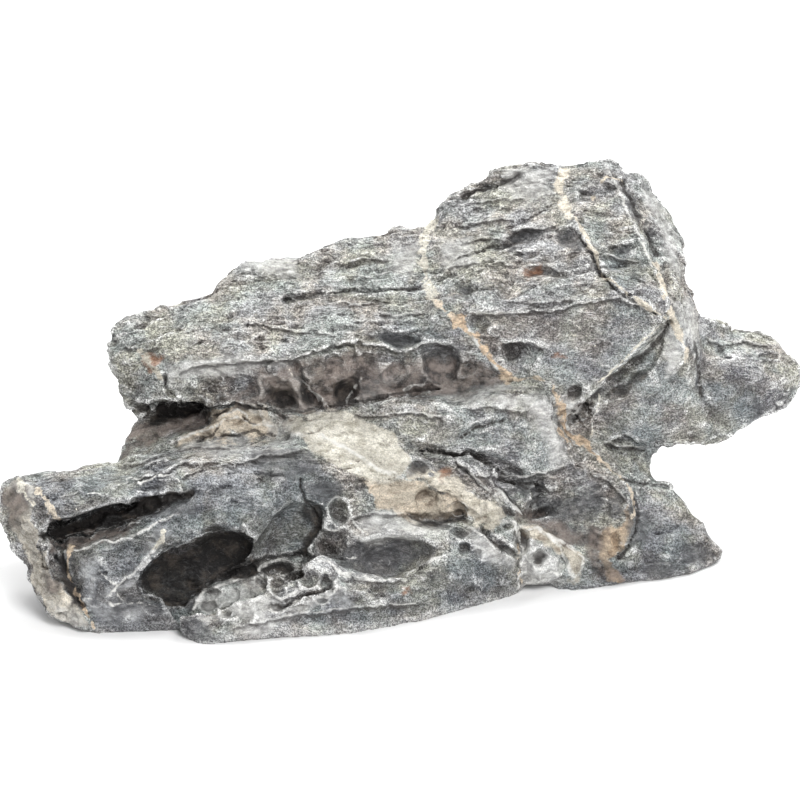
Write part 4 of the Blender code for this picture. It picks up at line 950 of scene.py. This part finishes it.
def write_marks(mesh, points, seen):
    """Writes the gaps to the drawn pits, ribs, cracks and scarps, for the painted shade inside them and the
    painted highlights on their rims.
    """
    ragged, torn = ragged_spots(points)
    unseen = FAR * (1.0 - seen)
    pits = [
        (np.hypot(*in_hollow(torn, hollow)) - 1.0) * min(hollow[2:4]) * FRAME_MM
        for hollow in HOLLOWS if hollow[-1] >= MARKED_DEPTH
    ]
    write_value(mesh, "pit", np.minimum.reduce(pits) + unseen)
    for name, lines in (("rib", RIBS), ("crack", CRACKS)):
        gaps = [line_gap(ragged, line) / half_width for line, half_width, _ in lines]
        write_value(mesh, name, np.minimum.reduce(gaps) + unseen)
    scarp = np.full(len(points), FAR)
    for line, drop, _ in SCARPS:
        below, middle = beside_line(ragged, line)
        closer = (np.abs(below) < np.abs(scarp)) & (middle * drop > 0.5)
        scarp[closer] = below[closer]
    write_value(mesh, "scarp", scarp + unseen)


def write_nearest(mesh, ends, name, gaps, warmths):
    """Writes the gap to the nearest of some shapes, and how warm that one's colour is."""
    nearest = np.argmin(gaps, axis=0)
    write_value(mesh, name, np.min(gaps, axis=0))
    write_value(mesh, name + "_warmth", spread(np.array(warmths)[nearest], ends, 3))


# ---------------------------------------------------------------- materials

class Wiring:
    """Short ways to add and join the nodes of one material."""

    def __init__(self, material):
        material.use_nodes = True
        self.tree = material.node_tree
        self.shader = self.tree.nodes["Principled BSDF"]
        self.spot = self.node("ShaderNodeTexCoord").outputs["Object"]

    def node(self, kind, inputs=None, **settings):
        made = self.tree.nodes.new(kind)
        for name, value in settings.items():
            setattr(made, name, value)
        for name, value in (inputs or {}).items():
            self.set(made.inputs[name], value)
        return made

    def set(self, socket, value):
        if isinstance(value, bpy.types.NodeSocket):
            self.tree.links.new(value, socket)
        else:
            socket.default_value = value

    def value(self, name):
        return self.node("ShaderNodeAttribute", attribute_name=name).outputs["Fac"]

    def math(self, operation, first, second=0.0):
        return self.node("ShaderNodeMath", {0: first, 1: second}, operation=operation).outputs[0]

    def times(self, first, second):
        return self.math("MULTIPLY", first, second)

    def greatest(self, first, second, third):
        return self.math("MAXIMUM", self.math("MAXIMUM", first, second), third)

    def gap_to(self, value, level):
        """How far a value is from a level, either way."""
        return self.math("ABSOLUTE", self.math("SUBTRACT", value, level))

    def ramp(self, value, low, high, to_low=0.0, to_high=1.0):
        inputs = {"Value": value, "From Min": low, "From Max": high, "To Min": to_low, "To Max": to_high}
        return self.node("ShaderNodeMapRange", inputs, interpolation_type="SMOOTHSTEP").outputs["Result"]

    def stretched(self, spot, stretch):
        return self.node("ShaderNodeMapping", {"Vector": spot, "Scale": stretch}).outputs["Vector"]

    def noise(self, size, detail=4.0, roughness=0.6, spot=None, warp=0.0):
        """Cloudy noise from 0 to 1 with lumps of size millimetres."""
        inputs = {
            "Vector": spot or self.spot, "Scale": 1.0 / (size * MM), "Detail": detail, "Roughness": roughness,
            "Distortion": warp,
        }
        return self.node("ShaderNodeTexNoise", inputs).outputs["Fac"]

    def cells(self, size, feature="F1", spot=None):
        inputs = {"Vector": spot or self.spot, "Scale": 1.0 / (size * MM)}
        return self.node("ShaderNodeTexVoronoi", inputs, feature=feature).outputs["Distance"]

    def mix(self, share, first, second, blend="MIX"):
        made = self.node("ShaderNodeMix", data_type="RGBA", blend_type=blend)
        self.set(made.inputs[0], share)
        self.set(made.inputs[6], first)
        self.set(made.inputs[7], second)
        return made.outputs[2]

    def shade(self, first, second, value, low, high, most=1.0):
        """Goes from the first colour to the second, or most of the way, as value goes from low to high."""
        return self.mix(self.ramp(value, low, high, 0.0, most), first, second)

    def tinted(self, colour, tint, share=1.0):
        return self.mix(share, colour, tint, "MULTIPLY")

    def bump(self, height, distance, strength=1.0, below=None):
        inputs = {"Height": height, "Distance": distance * MM, "Strength": strength}
        made = self.node("ShaderNodeBump", inputs)
        if below is not None:
            self.set(made.inputs["Normal"], below)
        return made.outputs["Normal"]


STONE_SPECULAR = 0.35
BED_TILT = (-0.455, -0.085, 0.0)  # turns the object's axes so that Z crosses the beds, in radians
SKIN_VALUES = ("edge", "swell", "sky", "smooth", "pit", "rib", "crack", "scarp")


def grey(tone, red=1.0, green=1.0, blue=1.0):
    return (tone * red, tone * green, tone * blue, 1.0)


def patterns(wire):
    """The noises, directions and marks that the colours are drawn with."""
    normal = wire.node("ShaderNodeNewGeometry").outputs["Normal"]
    beds = wire.node("ShaderNodeMapping", {"Vector": wire.spot, "Rotation": BED_TILT}).outputs["Vector"]
    sway = wire.node("ShaderNodeTexNoise", {"Vector": wire.spot, "Scale": 45.0, "Detail": 3.0})
    pushed = wire.node("ShaderNodeVectorMath", {0: sway.outputs["Color"], "Scale": 0.03}, operation="SCALE")
    hair_spot = wire.node("ShaderNodeVectorMath", {0: wire.spot, 1: pushed.outputs[0]}, operation="ADD")
    return SimpleNamespace(
        upward=wire.node("ShaderNodeSeparateXYZ", {0: normal}).outputs["Z"],
        clouds=wire.noise(26.0, 5.0, 0.6, warp=0.6),
        tint=wire.noise(18.0, 3.0, 0.6),
        mottle=wire.noise(6.0, 6.0, 0.68),
        fleck=wire.noise(2.6, 5.0, 0.72, spot=wire.stretched(beds, (0.55, 0.9, 1.7))),
        speckle=wire.noise(1.1, 4.0, 0.7, spot=wire.stretched(beds, (0.7, 1.0, 1.4))),
        dust=wire.noise(0.6, 2.0, 0.7),
        streak=wire.noise(5.0, 7.0, 0.66, spot=wire.stretched(beds, (0.22, 0.9, 2.4)), warp=0.4),
        hair=wire.cells(60.0, "DISTANCE_TO_EDGE", hair_spot.outputs[0]),
        wrinkle=wire.noise(5.0, 3.0, 0.6, spot=wire.stretched(beds, (0.6, 0.9, 1.5)), warp=1.2),
        fissure=wire.noise(8.0, 4.0, 0.65, spot=wire.stretched(beds, (0.5, 0.9, 1.7)), warp=1.5),
        **{name: wire.value(name) for name in SKIN_VALUES},
    )


def bare_stone(wire, look):
    """Grey limestone: dark and even on its smooth faces, paler and streaked on the bed tops, where the upward
    faces are also painted lighter as if lit from above.
    """
    colour = wire.shade(grey(0.14, 1.04, 0.99, 0.98), grey(0.27, 1.02, 1.0, 0.98), look.clouds, 0.34, 0.66)
    colour = wire.shade(colour, grey(0.45, 1.0, 0.99, 0.98), look.mottle, 0.44, 0.62, 0.8)
    colour = wire.shade(colour, grey(0.075, 1.05, 0.98, 1.0), look.mottle, 0.48, 0.34, 0.7)
    slate = wire.shade(grey(0.11, 0.98, 0.99, 1.04), grey(0.25, 0.99, 1.0, 1.02), look.clouds, 0.36, 0.64)
    slate = wire.shade(slate, grey(0.36), look.mottle, 0.46, 0.66, 0.45)
    slate = wire.shade(slate, grey(0.07, 1.0, 0.98, 1.02), look.mottle, 0.46, 0.34, 0.45)
    colour = wire.mix(wire.times(look.smooth, 0.8), colour, slate)
    # Paler streaked stone on the bed tops, with painted top light: the more a face turns up, the lighter it
    # is.
    pale_lit_top = wire.shade(grey(0.2, 1.0, 1.01, 0.96), grey(0.5, 1.0, 1.01, 0.97), look.streak, 0.38, 0.6)
    colour = wire.shade(colour, pale_lit_top, look.upward, 0.35, 0.85, 0.8)
    rough = wire.ramp(look.smooth, 1.0, 0.0, 0.2, 1.0)
    for speck, low, high, most, tone in (
        (look.streak, 0.44, 0.32, 0.7, grey(0.085, 1.03, 0.99, 0.95)),
        (look.fleck, 0.53, 0.68, 0.45, grey(0.7, 1.0, 1.0, 0.98)),
        (look.fleck, 0.46, 0.32, 0.55, grey(0.06, 1.04, 0.98, 0.97)),
    ):
        colour = wire.mix(wire.times(wire.ramp(speck, low, high, 0.0, most), rough), colour, tone)
    cool, warm = grey(1.0, 0.955, 1.0, 1.02), grey(1.0, 1.045, 1.005, 0.915)
    colour = wire.tinted(colour, wire.shade(cool, warm, look.tint, 0.4, 0.6))
    pink, green = grey(1.0, 1.015, 0.975), grey(1.0, 0.985, 1.015, 0.98)
    return wire.tinted(colour, wire.shade(pink, green, look.clouds, 0.4, 0.6))


def weathered_with_painted_light(wire, look, colour):
    """Pale on convex edges and bulges, partly rubbed wear and partly painted highlight, darker in creases and
    recesses as painted shade, and gritty all over.
    """
    # Painted highlight on convex edges, partly rubbed wear as well.
    rim = wire.times(wire.ramp(look.edge, 0.08, 0.5), wire.ramp(look.speckle, 0.3, 0.6, 0.35, 1.0))
    colour = wire.mix(wire.times(rim, 0.85), colour, grey(0.8, 1.0, 1.0, 0.98))
    # Paler on broad bulges, partly wear and partly painted highlight.
    colour = wire.shade(colour, grey(0.62, 1.0, 1.0, 0.99), look.swell, 0.2, 1.8, 0.35)
    # Painted shade: darker in creases, then darker still where little of the sky is open over the skin.
    colour = wire.shade(colour, grey(0.045, 1.06, 0.98, 0.94), look.edge, -0.1, -0.6, 0.7)
    colour = wire.shade(colour, grey(0.05, 1.1, 0.98, 0.88), look.sky, 0.7, 0.3, 0.6)
    colour = wire.shade(colour, grey(0.012, 1.1, 0.98, 0.9), look.sky, 0.35, 0.12, 0.9)
    grain = wire.shade(grey(0.5), grey(1.28), look.speckle, 0.38, 0.62)
    colour = wire.tinted(colour, grain, wire.ramp(look.smooth, 0.0, 1.0, 0.85, 0.6))
    colour = wire.tinted(colour, wire.shade(grey(0.4), grey(1.55), look.dust, 0.4, 0.6), 0.9)
    salt = wire.ramp(look.smooth, 0.0, 1.0, 0.35, 0.1)
    colour = wire.shade(colour, grey(0.8), look.speckle, 0.64, 0.72, salt)
    hairs = wire.times(wire.ramp(look.hair, 0.005, 0.002), wire.ramp(look.fleck, 0.45, 0.6, 0.0, 0.4))
    colour = wire.mix(hairs, colour, grey(0.66, 1.0, 0.98, 0.94))
    fissures = wire.ramp(wire.gap_to(look.fissure, 0.47), 0.022, 0.0)
    fissures = wire.times(fissures, wire.ramp(look.fleck, 0.6, 0.46, 0.0, 0.7))
    colour = wire.mix(fissures, colour, grey(0.04, 1.06, 0.98, 0.94))
    wrinkles = wire.ramp(wire.gap_to(look.wrinkle, 0.52), 0.026, 0.0)
    wrinkles = wire.times(wrinkles, wire.ramp(look.fleck, 0.44, 0.58, 0.0, 0.75))
    return wire.mix(wrinkles, colour, grey(0.78, 1.0, 0.99, 0.97))


def mark_shade_and_highlights(wire, look, colour):
    """Painted shade inside the pits and cracks and under the scarps, and painted highlights on the rims of
    the pits, the crests of the ribs and the lips of the scarps.
    """
    # Painted shade inside the pits and cracks and under the scarps.
    inside = wire.ramp(look.pit, 0.0, -1.6, 0.0, 0.4)
    cracked = wire.ramp(look.crack, 1.2, 0.5, 0.0, 0.75)
    under = wire.times(wire.ramp(look.scarp, 0.0, 0.4), wire.ramp(look.scarp, 2.4, 0.6, 0.0, 0.6))
    colour = wire.mix(wire.greatest(inside, cracked, under), colour, grey(0.035, 1.1, 0.98, 0.92))
    # Painted highlights on the rims of the pits, the crests of the ribs and the lips of the scarps.
    rim = wire.ramp(wire.gap_to(look.pit, 0.3), 0.5, 0.1, 0.0, 0.3)
    crest = wire.ramp(look.rib, 0.95, 0.3, 0.0, 0.8)
    lip = wire.ramp(wire.gap_to(look.scarp, -0.4), 0.5, 0.1, 0.0, 0.4)
    pale = wire.times(wire.greatest(rim, crest, lip), wire.ramp(look.mottle, 0.4, 0.58, 0.1, 1.0))
    return wire.mix(pale, colour, grey(0.82, 1.0, 0.99, 0.95))


def stained(wire, look, colour, torn):
    """The drawn stains and tones, with frayed edges; some of them are painted shade in recesses and hollows,
    and painted highlights on lit faces and edges.
    """
    frayed = {name: wire.math("ADD", wire.value(name), torn) for name in STAINS}
    # Paler over the drawn pale areas: partly paler stone, partly painted highlight on lit faces and edges.
    bright = wire.shade(grey(0.35, 1.02, 1.0, 0.98), grey(0.8, 1.0, 1.0, 0.97), look.fleck, 0.35, 0.65)
    colour = wire.shade(colour, bright, frayed["pale"], 2.0, -2.5, 0.6)
    # Dimmer, cooler tone over the drawn areas, held back on convex edges so that these stay paler, partly
    # wear and partly painted highlight.
    dim = wire.times(wire.ramp(frayed["dim"], 4.0, -4.0), wire.ramp(look.edge, 0.05, 0.5, 1.0, 0.4))
    colour = wire.tinted(colour, grey(0.6, 0.97, 1.0, 1.05), dim)
    # Darker slate over the drawn dark areas: partly the stone's own dark patches, partly painted shade in
    # hollows, scoops, the bowl and the slot.
    slate = wire.shade(grey(0.045, 0.97, 0.98, 1.06), grey(0.13, 0.98, 0.99, 1.04), look.fleck, 0.35, 0.65)
    colour = wire.shade(colour, slate, frayed["dark"], 1.6, -1.6, 0.7)
    brown = wire.shade((0.04, 0.032, 0.029, 1.0), (0.25, 0.205, 0.18, 1.0), look.mottle, 0.38, 0.62)
    # Paler brown on convex edges, partly wear and partly painted highlight.
    brown = wire.shade(brown, (0.42, 0.37, 0.33, 1.0), look.edge, 0.1, 0.6, 0.5)
    colour = wire.shade(colour, brown, frayed["brown"], 2.5, -2.0, 0.75)
    # Painted shade in the recesses: near black, with some dark brown of the stone itself.
    recess_shade = wire.shade(grey(0.012, 1.1, 0.98, 0.92), (0.075, 0.06, 0.048, 1.0), look.mottle, 0.45, 0.68)
    colour = wire.shade(colour, recess_shade, wire.value("recess_shade"), 0.8, -1.2, 0.85)
    rust = wire.shade((0.13, 0.055, 0.03, 1.0), (0.42, 0.2, 0.1, 1.0), look.fleck, 0.35, 0.65)
    return wire.shade(colour, rust, frayed["rust"], 1.2, -1.2, 0.65)


def calcite(wire, look, warmth):
    """Cream to tan, stained and dirty in places and brown where little light falls."""
    cream = wire.shade((0.46, 0.43, 0.355, 1.0), (0.86, 0.83, 0.74, 1.0), look.fleck, 0.34, 0.58)
    tan = wire.shade((0.28, 0.18, 0.11, 1.0), (0.76, 0.56, 0.37, 1.0), look.fleck, 0.32, 0.62)
    colour = wire.mix(warmth, cream, tan)
    colour = wire.shade(colour, (0.34, 0.32, 0.27, 1.0), look.clouds, 0.48, 0.62, 0.5)
    colour = wire.shade(colour, (0.25, 0.205, 0.16, 1.0), look.mottle, 0.46, 0.32, 0.5)
    colour = wire.shade(colour, (0.12, 0.085, 0.06, 1.0), look.edge, -0.1, -0.6, 0.7)
    colour = wire.shade(colour, (0.09, 0.065, 0.045, 1.0), look.sky, 0.7, 0.25, 0.8)
    return wire.tinted(colour, wire.shade(grey(0.65), grey(1.2), look.dust, 0.36, 0.64), 0.7)


def stone_material():
    material = bpy.data.materials.new("limestone")
    wire = Wiring(material)
    look = patterns(wire)
    ragged = wire.times(wire.math("SUBTRACT", wire.noise(2.2, 5.0, 0.7), 0.5), 3.4)
    torn = wire.times(wire.math("SUBTRACT", wire.noise(7.0, 6.0, 0.7), 0.5), 9.0)
    colour = weathered_with_painted_light(wire, look, bare_stone(wire, look))
    in_crust = wire.ramp(wire.math("ADD", wire.value("crust"), torn), 0.7, -0.9)
    in_crust = wire.times(in_crust, wire.ramp(look.mottle, 0.3, 0.46, 0.6, 1.0))
    colour = wire.mix(in_crust, colour, calcite(wire, look, wire.value("crust_warmth")))
    colour = mark_shade_and_highlights(wire, look, stained(wire, look, colour, torn))
    in_vein = wire.ramp(wire.math("ADD", wire.value("vein"), ragged), 0.35, -0.3)
    in_vein = wire.times(in_vein, wire.ramp(look.fleck, 0.32, 0.46, 0.35, 1.0))
    colour = wire.mix(in_vein, colour, calcite(wire, look, wire.value("vein_warmth")))

    wire.set(wire.shader.inputs["Base Color"], colour)
    wire.set(wire.shader.inputs["Roughness"], wire.ramp(look.speckle, 0.3, 0.7, 0.92, 0.74))
    wire.shader.inputs["Specular IOR Level"].default_value = STONE_SPECULAR
    rough = wire.ramp(look.smooth, 0.0, 1.0, 1.0, 0.4)
    bumped = wire.bump(look.streak, 0.8, wire.times(rough, 0.7))
    bumped = wire.bump(look.fleck, 1.0, wire.times(rough, 0.8), bumped)
    bumped = wire.bump(wire.cells(1.3), 0.3, 0.5, bumped)
    bumped = wire.bump(look.speckle, 0.7, wire.times(rough, 0.9), bumped)
    wire.set(wire.shader.inputs["Normal"], bumped)
    return material


# ---------------------------------------------------------------- stage

# In metres and watts.
FLOOR_HALF = 6.0
FLOOR_TONE = 0.9
FLOOR_ROUGHNESS = 0.9
WORLD_STRENGTH = 0.08
CAMERA_REACH = 50.0
LIGHT_SIZE = 0.9
LIGHT_AIM = (0.0, 0.0, 0.06)
LIGHTS = [
    ("front_low", (0.50, -1.36, 0.73), 13.2),
    ("front_high", (0.40, -0.83, 1.36), 15.2),
    ("back_right", (0.57, 0.98, 1.18), 29.5),
    ("back_left", (-0.57, 0.98, 1.18), 13.2),
    ("left_low", (-1.43, 0.25, 0.73), 7.2),
]


def add_light(name, place, power):
    lamp = bpy.data.lights.new(name, "AREA")
    lamp.size = LIGHT_SIZE
    lamp.energy = power
    obj = bpy.data.objects.new(name, lamp)
    obj.location = place
    obj.rotation_euler = (Vector(LIGHT_AIM) - Vector(place)).to_track_quat("-Z", "Y").to_euler()
    bpy.context.scene.collection.objects.link(obj)


def add_floor():
    mesh = bpy.data.meshes.new("floor")
    corners = [(-FLOOR_HALF, -FLOOR_HALF, 0), (FLOOR_HALF, -FLOOR_HALF, 0), (FLOOR_HALF, FLOOR_HALF, 0)]
    mesh.from_pydata([*corners, (-FLOOR_HALF, FLOOR_HALF, 0)], [], [(0, 1, 2, 3)])
    floor = bpy.data.objects.new("floor", mesh)
    bpy.context.scene.collection.objects.link(floor)
    material = bpy.data.materials.new("pale_floor")
    material.use_nodes = True
    shader = material.node_tree.nodes["Principled BSDF"]
    shader.inputs["Base Color"].default_value = (FLOOR_TONE, FLOOR_TONE, FLOOR_TONE, 1.0)
    shader.inputs["Roughness"].default_value = FLOOR_ROUGHNESS
    mesh.materials.append(material)


def add_world():
    world = bpy.data.worlds.new("studio")
    world.use_nodes = True
    background = world.node_tree.nodes["Background"]
    background.inputs["Color"].default_value = (1.0, 1.0, 1.0, 1.0)
    background.inputs["Strength"].default_value = WORLD_STRENGTH
    bpy.context.scene.world = world


def add_camera():
    camera = bpy.data.cameras.new("camera")
    camera.lens = camera.sensor_width * CAMERA_DISTANCE / (FRAME_SIZE * FRAME_MM)
    camera.clip_end = CAMERA_REACH
    view = bpy.data.objects.new("camera", camera)
    view.location = (CAMERA_AIM + TOWARD_CAMERA * CAMERA_DISTANCE) * MM
    view.rotation_euler = Vector(-TOWARD_CAMERA).to_track_quat("-Z", "Y").to_euler()
    bpy.context.scene.collection.objects.link(view)
    bpy.context.scene.camera = view


def set_stage():
    add_floor()
    add_world()
    for name, place, power in LIGHTS:
        add_light(name, place, power)
    bpy.context.scene.view_settings.view_transform = "Standard"
    add_camera()


stone = fine_skin()
wear(stone)
thin_out(stone)
mark_skin(stone)
stone.data.materials.clear()
stone.data.materials.append(stone_material())
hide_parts("stone")
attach(stone, "root")
set_stage()
